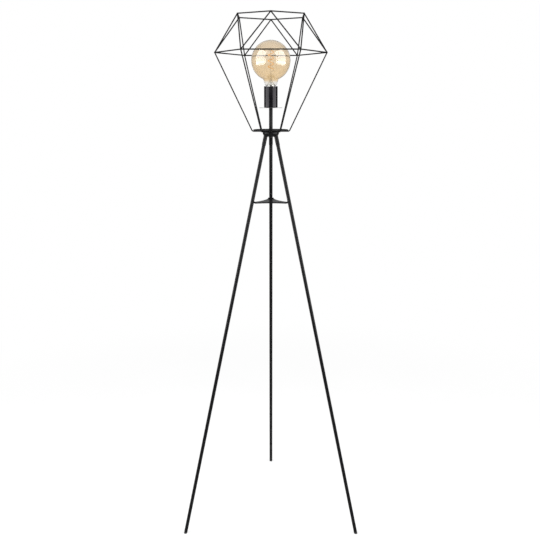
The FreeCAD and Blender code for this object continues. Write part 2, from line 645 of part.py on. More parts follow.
def terminal_block(side):
    """A brass terminal with a cross hole for a wire end and a clamping screw from below."""
    half = TERMINAL_WIDTH / 2
    far = side * POCKET_HALF_LENGTH
    near = side * (POCKET_HALF_LENGTH - TERMINAL_LENGTH)
    low = TERMINAL_TOP - TERMINAL_HEIGHT
    middle_z = TERMINAL_TOP - TERMINAL_HEIGHT / 2
    body = block(Vector(-half, min(far, near), low), Vector(half, max(far, near), TERMINAL_TOP))
    wire_hole = rod(Vector(0, near, middle_z), Vector(0, far, middle_z), TERMINAL_BORE / 2)
    screw_foot = Vector(0, (near + far) / 2, low)
    screw_hole = rod(screw_foot, screw_foot + UP * (middle_z - low), TERMINAL_SCREW_DIAMETER / 2 + FIT)
    return body.cut(wire_hole).cut(screw_hole)


def terminal_screw(side):
    """The clamping screw of a terminal, backed out far enough to leave the wire hole open."""
    y = side * (POCKET_HALF_LENGTH - TERMINAL_LENGTH / 2)
    bottom = TERMINAL_TOP - TERMINAL_HEIGHT
    shank_length = (TERMINAL_HEIGHT - TERMINAL_BORE) / 2
    shank = Part.makeCylinder(TERMINAL_SCREW_DIAMETER / 2, shank_length, Vector(0, y, bottom))
    head_base = Vector(0, y, bottom - TERMINAL_SCREW_HEAD_HEIGHT)
    head = Part.makeCylinder(TERMINAL_SCREW_HEAD_DIAMETER / 2, TERMINAL_SCREW_HEAD_HEIGHT, head_base)
    return shank.fuse(head).removeSplitter()


def centre_strip():
    """The strip under the floor that joins the sprung contact to the back terminal."""
    half = CONTACT_STRIP_WIDTH / 2
    strip = block(Vector(-half, -half, TERMINAL_TOP), Vector(half, POCKET_HALF_LENGTH, WEB_BOTTOM))
    shank_hole = PLUNGER_SHANK_DIAMETER / 2 + PLUNGER_SHANK_CLEARANCE
    return strip.cut(Part.makeCylinder(shank_hole, CONTACT_STRIP_THICKNESS, Vector(0, 0, TERMINAL_TOP)))


def side_strip():
    """The strip from the threaded shell down to the front terminal."""
    half = CONTACT_STRIP_WIDTH / 2
    outer = -SHELL_OUTER_RADIUS - CONTACT_STRIP_THICKNESS
    low = Vector(-half, outer, TERMINAL_TOP - TERMINAL_HEIGHT)
    return block(low, Vector(half, -SHELL_OUTER_RADIUS, (WELL_FLOOR + SHELL_TOP) / 2))


def contact_plunger():
    """The sprung contact: a head under the bulb's tip, and a shank through the body's floor."""
    head_base = PLUNGER_TOP - PLUNGER_HEAD_THICKNESS
    low = TERMINAL_TOP - CLIP_PLAY - CLIP_THICKNESS - PLUNGER_END_SPARE
    head = Part.makeCylinder(PLUNGER_HEAD_DIAMETER / 2, PLUNGER_HEAD_THICKNESS, Vector(0, 0, head_base))
    shank = Part.makeCylinder(PLUNGER_SHANK_DIAMETER / 2, head_base - low, Vector(0, 0, low))
    return head.fuse(shank).removeSplitter()


def plunger_clip():
    """The clip on the shank that keeps the plunger from leaving the floor."""
    low = TERMINAL_TOP - CLIP_PLAY - CLIP_THICKNESS
    return ring(CLIP_DIAMETER / 2, PLUNGER_SHANK_DIAMETER / 2, low, CLIP_THICKNESS)


def arc_from(start, tangent, end):
    """The arc that leaves a point along a tangent and ends at a second point."""
    chord = end - start
    along = chord * (1 / chord.Length)
    across = tangent - along * tangent.dot(along)
    bulge = chord.Length / 2 * math.tan(tangent.getAngle(along) / 2)
    middle = (start + end) * 0.5 + across.normalize() * bulge
    return Part.Arc(start, middle, end).toShape()


def helix_edges(radius, pitch, quarter_turns, bottom, first_angle, hand):
    """A helix about the lamp axis, from its lower end, as two tangent arcs for each quarter turn."""
    rise = pitch / (2 * math.pi)
    scale = 1 / math.hypot(radius, rise)

    def point(step):
        angle = math.radians(first_angle) + hand * step * math.pi / 2
        return Vector(radius * math.cos(angle), radius * math.sin(angle), bottom + pitch * step / 4)

    def tangent(step):
        angle = math.radians(first_angle) + hand * step * math.pi / 2
        return Vector(-radius * math.sin(angle) * hand, radius * math.cos(angle) * hand, rise) * scale

    edges = []
    for step in range(quarter_turns):
        p0, t0, p1, t1 = point(step), tangent(step), point(step + 1), tangent(step + 1)
        span = p1 - p0
        both = t0 + t1
        spare = 2 * (1 - t0.dot(t1))
        root = math.sqrt(span.dot(both) ** 2 + spare * span.dot(span))
        reach = (root - span.dot(both)) / spare
        joint = (p0 + p1 + (t0 - t1) * reach) * 0.5
        mirrored = arc_from(p1, t1 * -1, joint)
        edges.append(arc_from(p0, t0, joint))
        half_way = (mirrored.FirstParameter + mirrored.LastParameter) / 2
        edges.append(Part.Arc(joint, mirrored.valueAt(half_way), p1).toShape())
    return edges, (point(0), tangent(0)), (point(quarter_turns), tangent(quarter_turns))


def coil_gap(radius, pitch, quarter_turns, tube):
    """Least gap between the turns of a coil, measured between points on its centre line that
    lie at least half a turn apart."""
    per_turn = 72
    points = []
    for i in range(quarter_turns * per_turn // 4 + 1):
        turn = i / per_turn
        points.append(polar(radius, 360 * turn, pitch * turn))
    apart = []
    for i, point in enumerate(points):
        apart += [point.distanceToPoint(other) for other in points[i + per_turn // 2:]]
    return min(apart) - tube


def coil(name, edges, low_end, high_end, tube, straight):
    """One unbroken tube along a helix, with a straight run at each end."""
    start = low_end[0] - low_end[1] * straight
    finish = high_end[0] + high_end[1] * straight
    path = [Part.LineSegment(start, low_end[0]).toShape()] + edges
    path.append(Part.LineSegment(high_end[0], finish).toShape())
    solid = bent_rod(path, start, low_end[1], tube / 2)
    section = math.pi * tube ** 2 / 4
    length = sum(edge.Length for edge in path)
    print(name, "volume over section times length: %.5f" % (solid.Volume / (section * length)))
    return solid, start, finish


def contact_spring():
    """The coil spring under the plunger's head."""
    radius = (CONTACT_SPRING_DIAMETER - CONTACT_SPRING_WIRE) / 2
    usable = CONTACT_SPRING_HEIGHT - 2 * CONTACT_SPRING_WIRE
    pitch = usable / CONTACT_SPRING_TURNS
    bottom = SPRING_SEAT + CONTACT_SPRING_WIRE
    quarters = 4 * CONTACT_SPRING_TURNS
    edges, low, high = helix_edges(radius, pitch, quarters, bottom, 0, 1)
    gap = coil_gap(radius, pitch, quarters, CONTACT_SPRING_WIRE)
    print("contact spring, least gap between turns: %.2f" % gap)
    return coil("contact spring", edges, low, high, CONTACT_SPRING_WIRE, CONTACT_SPRING_WIRE)[0]


def glass_outline(inset):
    """Edges of the bulb's glass from the cap to the top of the globe, inset by the wall or not."""
    radius = GLOBE_DIAMETER / 2
    taper = math.radians(NECK_TAPER)
    along = (math.sin(taper), math.cos(taper))
    outward = (math.cos(taper), -math.sin(taper))
    shoulder_x = NECK_SHOULDER_RADIUS - SHOULDER_ARC
    shoulder_z = CAP_TOP + SHOULDER_ARC
    foot_x = shoulder_x + outward[0] * (SHOULDER_ARC + NECK_FILLET)
    foot_z = shoulder_z + outward[1] * (SHOULDER_ARC + NECK_FILLET) - GLOBE_CENTRE
    half_b = foot_x * along[0] + foot_z * along[1]
    rest = foot_x ** 2 + foot_z ** 2 - (radius + NECK_FILLET) ** 2
    run = -half_b - math.sqrt(half_b ** 2 - rest)
    fillet_x = foot_x + along[0] * run
    fillet_z = foot_z + along[1] * run + GLOBE_CENTRE
    seam = CAP_RADIUS - CAP_WALL - FIT - inset
    low = CAP_TOP - CAP_SKIRT + CAP_WALL
    neck_turn = -taper
    globe_turn = math.atan2(fillet_z - GLOBE_CENTRE, fillet_x)
    shoulder_radius = SHOULDER_ARC - inset
    fillet_radius = NECK_FILLET + inset
    neck_x = shoulder_x + outward[0] * shoulder_radius
    neck_z = shoulder_z + outward[1] * shoulder_radius
    join_x = fillet_x - outward[0] * fillet_radius
    join_z = fillet_z - outward[1] * fillet_radius
    return [
        line(seam, low, seam, CAP_TOP + inset),
        line(seam, CAP_TOP + inset, shoulder_x, CAP_TOP + inset),
        arc_about(shoulder_x, shoulder_z, shoulder_radius, -math.pi / 2, neck_turn),
        line(neck_x, neck_z, join_x, join_z),
        arc_about(fillet_x, fillet_z, fillet_radius, math.pi + neck_turn, math.pi + globe_turn),
        arc_about(0, GLOBE_CENTRE, radius - inset, globe_turn, math.pi / 2),
    ], seam, low


def bulb_glass():
    """The blown glass envelope: globe, tapering neck and the rim that sits in the cap."""
    outer, outer_seam, low = glass_outline(0)
    inner, inner_seam, low = glass_outline(GLASS_WALL)
    radius = GLOBE_DIAMETER / 2
    crown = line(0, GLOBE_CENTRE + radius - GLASS_WALL, 0, GLOBE_CENTRE + radius)
    rim = line(inner_seam, low, outer_seam, low)
    return turned(outer + inner + [crown, rim])


def filament_line():
    """The filament's helix with the place and direction of its two ends."""
    bottom = GLOBE_CENTRE - FILAMENT_BOTTOM
    return helix_edges(FILAMENT_COIL_RADIUS, FILAMENT_PITCH, FILAMENT_QUARTER_TURNS, bottom, 0, -1)


def bulb_filament():
    """The spiral filament: one soft tube wound about the bulb's axis."""
    edges, low, high = filament_line()
    gap = coil_gap(FILAMENT_COIL_RADIUS, FILAMENT_PITCH, FILAMENT_QUARTER_TURNS, FILAMENT_DIAMETER)
    print("filament, least gap between turns: %.2f" % gap)
    return coil("filament", edges, low, high, FILAMENT_DIAMETER, FILAMENT_DIAMETER)[0]


def bulb_leads():
    """The two wires that carry the filament: a short one to its foot, a long one to its top."""
    edges, low, high = filament_line()
    side = LEAD_SPACING / 2
    ends = ((low[0], low[1] * -1, side, -LEAD_FALL), (high[0], high[1], -side, LEAD_FALL))
    wires = []
    for end, outward, x, rise in ends:
        start = end + outward * FILAMENT_DIAMETER
        knee = start + outward * LEAD_STRAIGHT
        corner = Vector(x, 0, knee.z + rise)
        points = [start, knee, corner, Vector(x, 0, DRIVER_BOARD_TOP)]
        wires.append(bent_rod(rounded_path(points, LEAD_BEND), start, outward, LEAD_DIAMETER / 2))
    return wires


def bulb_mount():
    """The glass mount: a flare that stands on the floor of the neck and runs up to a pressed
    tip that grips the two wires."""
    floor = CAP_TOP + GLASS_WALL
    top = floor + MOUNT_HEIGHT
    press = top - MOUNT_PRESS_HEIGHT
    hollow_top = press - MOUNT_PRESS_FLOOR
    foot = NECK_SHOULDER_RADIUS - SHOULDER_ARC - FIT
    inner = MOUNT_RADIUS - GLASS_WALL
    mount = turned([
        line(0, top, MOUNT_TIP_RADIUS, top),
        line(MOUNT_TIP_RADIUS, top, MOUNT_RADIUS, press),
        line(MOUNT_RADIUS, press, foot, floor),
        line(foot, floor, foot - GLASS_WALL, floor),
        line(foot - GLASS_WALL, floor, inner, hollow_top),
        line(inner, hollow_top, 0, hollow_top),
        line(0, hollow_top, 0, top),
    ])
    for wire in bulb_leads():
        mount = mount.cut(wire)
    return mount


def bulb_driver():
    """The small driver in the cap: a round board with its capacitor and a chip below."""
    low = DRIVER_BOARD_BOTTOM
    board = Part.makeCylinder(DRIVER_BOARD_RADIUS, DRIVER_BOARD_THICKNESS, Vector(0, 0, low))
    can_base = Vector(-DRIVER_PART_OFFSET, 0, low - DRIVER_CAN_LENGTH)
    can = Part.makeCylinder(DRIVER_CAN_RADIUS, DRIVER_CAN_LENGTH, can_base)
    half = DRIVER_CHIP_WIDTH / 2
    chip_corner = Vector(DRIVER_PART_OFFSET - half, -half, low - DRIVER_CHIP_HEIGHT)
    chip = block(chip_corner, Vector(DRIVER_PART_OFFSET + half, half, low))
    return [board, can, chip]


def cap_profile(inset):
    """The cap's side from the top down: a plain skirt, a short cone, then the thread's ridges as arcs."""
    crest = CAP_RADIUS - inset
    middle = crest - CAP_THREAD_DEPTH / 2
    root = crest - CAP_THREAD_DEPTH
    quarter = CAP_THREAD_PITCH / 4
    skirt_bottom = CAP_TOP - CAP_SKIRT
    edges = [line(crest, CAP_TOP, crest, skirt_bottom)]
    edges.append(line(crest, skirt_bottom, middle, skirt_bottom - quarter))
    for turn in range(CAP_THREAD_TURNS):
        heights = [skirt_bottom - turn * CAP_THREAD_PITCH - quarter * i for i in range(1, 6)]
        radii = [middle, root, middle, crest, middle]
        points = [Vector(r, 0, z) for r, z in zip(radii, heights)]
        edges.append(Part.Arc(points[0], points[1], points[2]).toShape())
        edges.append(Part.Arc(points[2], points[3], points[4]).toShape())
    return edges, crest, middle


def bulb_cap():
    """The screw cap: a thin metal shell with rolled thread ridges under a plain skirt."""
    outer, outer_top, outer_low = cap_profile(0)
    inner, inner_top, inner_low = cap_profile(CAP_WALL)
    top = line(inner_top, CAP_TOP, outer_top, CAP_TOP)
    low = line(inner_low, CAP_THREAD_BOTTOM, outer_low, CAP_THREAD_BOTTOM)
    return turned(outer + inner + [top, low])


def cap_insulator():
    """The black glass plug that closes the cap and holds the tip contact."""
    plug = CAP_RADIUS - CAP_THREAD_DEPTH - CAP_WALL - FIT
    base = CAP_THREAD_BOTTOM - INSULATOR_CONE_HEIGHT
    top = CAP_THREAD_BOTTOM + INSULATOR_PLUG_HEIGHT
    shape = turned([
        line(0, base, INSULATOR_CONE_RADIUS, base),
        line(INSULATOR_CONE_RADIUS, base, plug, CAP_THREAD_BOTTOM),
        line(plug, CAP_THREAD_BOTTOM, plug, top),
        line(plug, top, 0, top),
        line(0, top, 0, base),
    ])
    return shape.cut(tip_lead())


def tip_lead():
    """The wire from the driver down to the tip contact."""
    low = Vector(0, 0, CAP_THREAD_BOTTOM - INSULATOR_CONE_HEIGHT)
    return rod(low, Vector(0, 0, DRIVER_BOARD_BOTTOM), LEAD_DIAMETER / 2)


def cap_tip():
    """The tip contact: a low button with a rounded lower edge."""
    button = Part.makeCylinder(CAP_TIP_RADIUS, CAP_TIP_THICKNESS, Vector(0, 0, BULB_TIP))
    return button.makeFillet(CAP_TIP_EDGE, lower_rim(button))


def build():
    """Every node's shape, or its list of separate solids, by name."""
    parts = {}
    for name, degrees in LEG_ANGLES.items():
        parts["leg_" + name] = leg_tube(degrees)
        parts["foot_" + name] = foot_plug(degrees)
    parts["leg_stubs"] = leg_stubs()
    parts["leg_studs"] = leg_studs()
    parts["leg_inserts"] = leg_inserts()
    parts["brace_plate"] = brace_plate()
    parts["brace_screws"] = [brace_screw(degrees) for degrees in LEG_ANGLES.values()]
    parts["hub_bowl"] = hub_bowl()
    parts["hub_plate"] = plate_on_axis(HUB_DIAMETER, HUB_PLATE_BOTTOM, HUB_PLATE_THICKNESS)
    parts["hub_nut"] = stem_nut(HUB_PLATE_BOTTOM - NUT_THICKNESS)
    parts["cord_bushing"] = cord_bushing()
    parts["threaded_tube"] = ring(PIPE_DIAMETER / 2, PIPE_BORE / 2, PIPE_BOTTOM, PIPE_TOP - PIPE_BOTTOM)
    parts["cage_centre_plate"] = plate_on_axis(
        CENTRE_PLATE_DIAMETER, CENTRE_PLATE_BOTTOM, CENTRE_PLATE_THICKNESS)
    parts["cage_bottom_ring"] = cage_bottom_ring()
    parts.update(cage_parts())
    parts["stem_sleeve"] = ring(STEM_DIAMETER / 2, PIPE_HOLE_RADIUS, CENTRE_PLATE_TOP, STEM_LENGTH)
    parts["socket_disc"] = plate_on_axis(DISC_DIAMETER, DISC_BOTTOM, DISC_THICKNESS)
    parts["lampholder_cup"] = lampholder_cup()
    parts["holder_strap"] = holder_strap()
    parts["holder_nut"] = stem_nut(CUP_FLOOR + STRAP_THICKNESS)
    parts["strap_screws"] = [strap_screw(side) for side in (-1, 1)]
    parts["holder_body"] = holder_body()
    parts["threaded_shell"] = threaded_shell()
    parts["terminal_blocks"] = [terminal_block(side) for side in (-1, 1)]
    parts["terminal_screws"] = [terminal_screw(side) for side in (-1, 1)]
    parts["centre_strip"] = centre_strip()
    parts["side_strip"] = side_strip()
    parts["contact_plunger"] = contact_plunger()
    parts["plunger_clip"] = plunger_clip()
    parts["contact_spring"] = contact_spring()
    parts["bulb_glass"] = bulb_glass()
    parts["bulb_filament"] = bulb_filament()
    parts["bulb_leads"] = bulb_leads()
    parts["bulb_mount"] = bulb_mount()
    parts["bulb_driver"] = bulb_driver()
    parts["bulb_cap"] = bulb_cap()
    parts["cap_insulator"] = cap_insulator()
    parts["tip_lead"] = tip_lead()
    parts["cap_tip"] = cap_tip()
    return parts


os.makedirs("parts", exist_ok=True)
for node, shape in build().items():
    solids = shape if isinstance(shape, list) else [shape]
    placed = [solid.translated(Vector(0, AXIS_Y, 0)) for solid in solids]
    whole = placed[0] if len(placed) == 1 else Part.makeCompound(placed)
    whole.exportStep(os.path.join("parts", node + ".step"))
    print(node, "solids", len(whole.Solids), "volume %.1f" % whole.Volume, "valid", whole.isValid())
print("lamp axis at Y = %.4f" % AXIS_Y)
print("heights: waist %.2f, top %.2f, cup rim %.2f" % (WAIST_HEIGHT, TOP_HEIGHT, CUP_TOP))
print("heights: bulb tip %.2f, globe centre %.2f, spring seat %.2f" % (BULB_TIP, GLOBE_CENTRE, SPRING_SEAT))
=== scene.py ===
import math

import bmesh
import bpy
import numpy as np
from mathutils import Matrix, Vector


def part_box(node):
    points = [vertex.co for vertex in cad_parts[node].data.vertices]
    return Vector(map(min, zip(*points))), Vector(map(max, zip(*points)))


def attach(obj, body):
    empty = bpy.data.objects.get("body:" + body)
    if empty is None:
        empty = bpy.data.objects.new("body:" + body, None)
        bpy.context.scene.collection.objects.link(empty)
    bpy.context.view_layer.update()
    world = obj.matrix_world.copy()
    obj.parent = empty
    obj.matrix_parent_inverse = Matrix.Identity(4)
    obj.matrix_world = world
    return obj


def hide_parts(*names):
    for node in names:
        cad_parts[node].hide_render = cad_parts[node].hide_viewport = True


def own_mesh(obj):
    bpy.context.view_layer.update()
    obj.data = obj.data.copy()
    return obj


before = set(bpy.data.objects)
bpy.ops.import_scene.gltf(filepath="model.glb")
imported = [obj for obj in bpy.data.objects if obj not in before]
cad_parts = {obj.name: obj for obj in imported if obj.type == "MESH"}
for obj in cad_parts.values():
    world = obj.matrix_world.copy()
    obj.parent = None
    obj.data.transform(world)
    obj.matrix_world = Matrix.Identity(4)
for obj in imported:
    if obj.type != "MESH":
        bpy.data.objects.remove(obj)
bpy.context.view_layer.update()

# Feet
# A black plastic plug closes the lower end of each leg. It is injection moulded, pushed into
# the tube, and its head is cut level so that it stands flat on the floor.

STEM_LOW, STEM_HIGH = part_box("stem_sleeve")
AXIS = np.array([0.0, (STEM_LOW.y + STEM_HIGH.y) / 2, 0.0])
UPWARDS = np.array([0.0, 0.0, 1.0])
SIDEWAYS = np.array([1.0, 0.0, 0.0])
HUB_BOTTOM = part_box("hub_bowl")[0].z
FOOT_CIRCLE_RADIUS = 0.326
LEG_TOP_RADIUS = 0.0196
LEG_RADIUS = 0.0055
LEG_ANGLES = {"back": 90.0, "left": 210.0, "right": 330.0}
FOOT_HEAD_LENGTH = 0.005
FOOT_EDGE = 0.0008
BAR_SIDES = 32
STEEP = 0.9
SHARP_EDGE = 35.0
SAME_POINT = 1e-6


def polar(radius, degrees, height):
    """Points at a radius and an angle round the lamp axis, at a height above the floor."""
    angle = np.radians(degrees)
    flat = [radius * np.cos(angle), radius * np.sin(angle), height + 0 * angle]
    return AXIS + np.stack(np.broadcast_arrays(*flat), axis=-1)


def unit(vector):
    """The direction of each vector."""
    return vector / np.linalg.norm(vector, axis=-1, keepdims=True)


def leg_direction(degrees):
    """The way up a leg's centre line, from its foot to the hub."""
    return unit(polar(LEG_TOP_RADIUS, degrees, HUB_BOTTOM) - polar(FOOT_CIRCLE_RADIUS, degrees, 0.0))


def along_leg(degrees, distance):
    """A point on a leg's centre line, at a distance from the floor along it."""
    return polar(FOOT_CIRCLE_RADIUS, degrees, 0.0) + distance * leg_direction(degrees)


def circle_round(ahead, across, sides):
    """Points on a circle of radius 1 square to a direction, or on one circle for each direction. It
    starts at the cross product of the direction with the fixed direction across."""
    first = unit(np.cross(ahead, across))
    second = np.cross(ahead, first)
    angle = np.linspace(0, 2 * np.pi, sides, endpoint=False)[:, None]
    return np.cos(angle) * first[..., None, :] + np.sin(angle) * second[..., None, :]


def rod_profile(length, radius, edge, steps=5):
    """Distance along a rod and its radius there: a flat end, a quarter circle of the edge's radius,
    the straight side, and the same again at the other end."""
    turn = np.linspace(np.pi / 2, 0, steps)
    near = edge * (1 - np.sin(turn))
    wide = radius - edge * (1 - np.cos(turn))
    along = np.concatenate([[0.0], near, length - near[::-1], [length]])
    return along, np.concatenate([[0.0], wide, wide[::-1], [0.0]])


def rod_grid(start, end, radius, edge, sides=BAR_SIDES):
    """A straight rod with rounded rims: circles of the rod's profile square to its centre line."""
    length = np.linalg.norm(end - start)
    ahead = (end - start) / length
    across = UPWARDS if abs(ahead[2]) < STEEP else SIDEWAYS
    along, radii = rod_profile(length, radius, edge)
    return start + along[:, None, None] * ahead + radii[:, None, None] * circle_round(ahead, across, sides)


def grid_faces(rows, columns, looped):
    """Four-cornered faces between the points of a grid that closes round in its columns, and also
    in its rows if it is looped."""
    last = rows if looped else rows - 1
    row, column = np.meshgrid(np.arange(last), np.arange(columns), indexing="ij")
    below = (row + 1) % rows
    beside = (column + 1) % columns
    upper = [row * columns + column, row * columns + beside]
    lower = [below * columns + beside, below * columns + column]
    return np.stack(upper + lower, axis=-1).reshape(-1, 4)


def made_piece(name, grids, body, finish, nodes=(), looped=False, crease=SHARP_EDGE):
    """One piece from its grids of points: poles and seams are merged, faces turned outwards, and
    edges over the crease angle stay sharp. It rides on a body and stands for its nodes."""
    starts = np.cumsum([0] + [grid.shape[0] * grid.shape[1] for grid in grids])
    faces = [grid_faces(*grid.shape[:2], looped) + start for grid, start in zip(grids, starts)]
    points = np.concatenate([grid.reshape(-1, 3) for grid in grids])
    mesh = bpy.data.meshes.new(name)
    mesh.from_pydata(points.tolist(), [], np.concatenate(faces).tolist())
    shell = bmesh.new()
    shell.from_mesh(mesh)
    bmesh.ops.remove_doubles(shell, verts=shell.verts, dist=SAME_POINT)
    bmesh.ops.recalc_face_normals(shell, faces=shell.faces)
    shell.to_mesh(mesh)
    shell.free()
    mesh.polygons.foreach_set("use_smooth", np.ones(len(mesh.polygons), dtype=bool))
    mesh.set_sharp_from_angle(angle=math.radians(crease))
    mesh.materials.append(finish)
    piece = bpy.data.objects.new(name, mesh)
    bpy.context.scene.collection.objects.link(piece)
    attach(piece, body)
    if nodes:
        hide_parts(*nodes)
    return piece


def node_tools(tree):
    """A function that adds a node to a tree, and one that gives a node its values and links."""

    def add(kind, inputs, **settings):
        node = tree.nodes.new(kind)
        for key, value in settings.items():
            setattr(node, key, value)
        wire(node, inputs)
        return node

    def wire(node, inputs):
        for key, value in inputs.items():
            if isinstance(value, bpy.types.NodeSocket):
                tree.links.new(value, node.inputs[key])
            else:
                node.inputs[key].default_value = value

    return add, wire


def new_finish(name):
    """An empty finish: its material, its shader, and the two functions for its nodes."""
    material = bpy.data.materials.new(name)
    material.use_nodes = True
    return material, material.node_tree.nodes["Principled BSDF"], *node_tools(material.node_tree)


def speckled(add, scale, low, high, detail=3.0):
    """A value that wanders between low and high over the surface, with grains of 1 / scale metres."""
    place = add("ShaderNodeTexCoord", {})
    noise = add("ShaderNodeTexNoise", {"Vector": place.outputs["Object"], "Scale": scale, "Detail": detail})
    spread = add("ShaderNodeMapRange", {"Value": noise.outputs["Fac"], "From Min": 0.3, "From Max": 0.7,
                                        "To Min": low, "To Max": high})
    return spread.outputs["Result"]


def two_tones(add, share, *tones):
    """A colour between two tones, each a colour or a socket, by a share."""
    first, second = [tone if isinstance(tone, bpy.types.NodeSocket) else (*tone, 1) for tone in tones]
    return add("ShaderNodeMix", {0: share, 6: first, 7: second}, data_type="RGBA").outputs[2]


def grain_bump(add, scale, depth, detail=2.0):
    """A relief of fine grains, depth metres high."""
    height = speckled(add, scale, 0.0, 1.0, detail)
    bump = add("ShaderNodeBump", {"Height": height, "Strength": 1.0, "Distance": depth})
    return bump.outputs["Normal"]


def mottled_finish(name, patch, first, second, grain, dullness, relief=None, others=(), patch_detail=3.0):
    """A finish whose colour drifts between two tones over patches of 1 / patch metres, and whose
    roughness wanders between two values over grains of 1 / grain metres. A relief is the scale and
    the depth of its grains, and others are sockets with one value each."""
    material, shader, add, wire = new_finish(name)
    tone = two_tones(add, speckled(add, patch, 0.0, 1.0, patch_detail), first, second)
    wire(shader, {"Base Color": tone, "Roughness": speckled(add, grain, *dullness)} | dict(others))
    if relief:
        wire(shader, {"Normal": grain_bump(add, *relief)})
    return material


# Matt black plastic with the fine texture of a spark-eroded mould.
PLASTIC = mottled_finish("black_moulded_plastic", 160.0, (0.010, 0.010, 0.011), (0.020, 0.020, 0.021),
                         700.0, (0.5, 0.68), (2600.0, 0.00006), {"Specular IOR Level": 0.4})

for side, degrees in LEG_ANGLES.items():
    up = leg_direction(degrees)
    head = rod_grid(along_leg(degrees, -LEG_RADIUS), along_leg(degrees, FOOT_HEAD_LENGTH),
                    LEG_RADIUS - FOOT_EDGE / 4, FOOT_EDGE)
    below_floor = np.minimum(head[..., 2:], 0.0)
    head = head - up * below_floor / up[2]
    made_piece("foot_plug_" + side, [head], "stand", PLASTIC, ["foot_" + side])

# Leg tubes
# Three straight steel tubes, cut square, with their ends deburred and with a black powder coat
# baked on. Each is screwed to its stub by a hidden stud.

STUB_LENGTH = 0.026
LEG_EDGE = 0.0005
LEG_LENGTH = np.linalg.norm(polar(LEG_TOP_RADIUS, 90.0, HUB_BOTTOM) - polar(FOOT_CIRCLE_RADIUS, 90.0, 0.0))

# Black satin powder coat: an even film with a faint orange peel and tiny dull spots.
POWDER_COAT = mottled_finish("black_powder_coat", 90.0, (0.0022, 0.0022, 0.0026), (0.0044, 0.0044, 0.0050),
                             300.0, (0.24, 0.32), (900.0, 0.000006), {"Specular IOR Level": 0.13})


def coated_piece(name, grids, nodes=(), looped=False, crease=SHARP_EDGE):
    """A powder coated steel piece of the stand."""
    return made_piece(name, grids, "stand", POWDER_COAT, nodes, looped, crease)


for side, degrees in LEG_ANGLES.items():
    tube = rod_grid(along_leg(degrees, FOOT_HEAD_LENGTH), along_leg(degrees, LEG_LENGTH - STUB_LENGTH),
                    LEG_RADIUS, LEG_EDGE)
    coated_piece("leg_tube_" + side, [tube], ["leg_" + side])

# Hub bowl and hub plate
# The bowl is pressed from steel sheet and the plate is blanked from it. Both are powder coated.
# The threaded tube and its nut clamp them together under the cage.

HUB_RADIUS = 0.0255
BOWL_DEPTH = 0.014
BOWL_RIM_HEIGHT = 0.0015
BOWL_SIDE_ARC = 0.010
BOWL_WALL = 0.0016
BUSHING_HOLE = 0.0052
PIPE_HOLE = 0.00515
PLATE_EDGE = 0.0005
TURNED_SIDES = 96
HUB_PLATE_LOW, HUB_PLATE_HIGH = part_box("hub_plate")


def turned(outline, sides=TURNED_SIDES):
    """A surface of revolution: each point of the outline, a radius and a height, goes once round
    the lamp axis."""
    angle = np.linspace(0, 360, sides, endpoint=False)
    return polar(outline[:, :1], angle[None, :], outline[:, 1:])


def arc(centre_r, centre_z, radius, start, end, steps=9):
    """Points on an arc, from one angle in degrees to another, as radii and heights."""
    angle = np.radians(np.linspace(start, end, steps))
    return np.stack([centre_r + radius * np.cos(angle), centre_z + radius * np.sin(angle)], axis=1)


def outline_of(*parts):
    """One outline from single points and runs of points, closed on its first point."""
    rows = [np.atleast_2d(part) for part in parts]
    return np.concatenate(rows + [rows[0][:1]])


def bowl_side(inset):
    """The bowl's side from rim to middle, as radii and heights: an upright stretch, a tight arc
    and a wide shallow arc that meet on one line through both centres. The wall is the inset."""
    side_r = HUB_RADIUS - BOWL_SIDE_ARC
    drop = BOWL_DEPTH - BOWL_RIM_HEIGHT
    side_z = HUB_BOTTOM + drop
    wide = (side_r ** 2 + drop ** 2 - BOWL_SIDE_ARC ** 2) / (2 * (drop - BOWL_SIDE_ARC))
    wide_z = HUB_BOTTOM + wide
    meeting = math.degrees(math.atan2(side_z - wide_z, side_r))
    hole = -math.degrees(math.acos(BUSHING_HOLE / wide))
    return np.concatenate([arc(side_r, side_z, BOWL_SIDE_ARC - inset, 0, meeting, 16),
                           arc(0, wide_z, wide - inset, meeting, hole, 12)])


def washer_outline(inner, outer, low, high, edge):
    """A flat ring's section with rounded outer rims, as radii and heights."""
    return outline_of([inner, low], arc(outer - edge, low + edge, edge, -90, 0, 5),
                      arc(outer - edge, high - edge, edge, 0, 90, 5), [inner, high])


rim = BOWL_WALL / 2
rim_place = (HUB_RADIUS - rim, HUB_BOTTOM + BOWL_DEPTH - rim, rim)
bowl = outline_of(arc(*rim_place, 90, 0, 6), bowl_side(0.0), bowl_side(BOWL_WALL)[::-1],
                  arc(*rim_place, 180, 90, 6))
coated_piece("hub_bowl_pressing", [turned(bowl)], ["hub_bowl"])
plate = washer_outline(PIPE_HOLE, HUB_RADIUS, HUB_PLATE_LOW.z, HUB_PLATE_HIGH.z, PLATE_EDGE)
coated_piece("hub_plate_blank", [turned(plate)], ["hub_plate"])

# Leg stubs
# Three short turned steel bars under the bowl, welded on all round and coated with it. Each is
# drilled for the stud that holds its leg.

STUB_RADIUS = 0.0062
STUB_CHAMFER = 0.0006
STUB_SIDES = 64
STUB_WELD_RADIUS = 0.0011
STUB_WELD_SWELL = 0.10
STUB_WELD_RIPPLES = 22


def carried(path, radii, across, sides):
    """A round profile carried along a path: at each point of the path a circle of that point's
    radius, square to the path's direction there."""
    return path[:, None] + radii[:, None, None] * circle_round(unit(np.gradient(path, axis=0)), across, sides)


def bowl_height(radius):
    """The height of the bowl's outer surface over a distance from the lamp axis."""
    side = bowl_side(0.0)[::-1]
    return np.interp(radius, side[:, 0], side[:, 1])


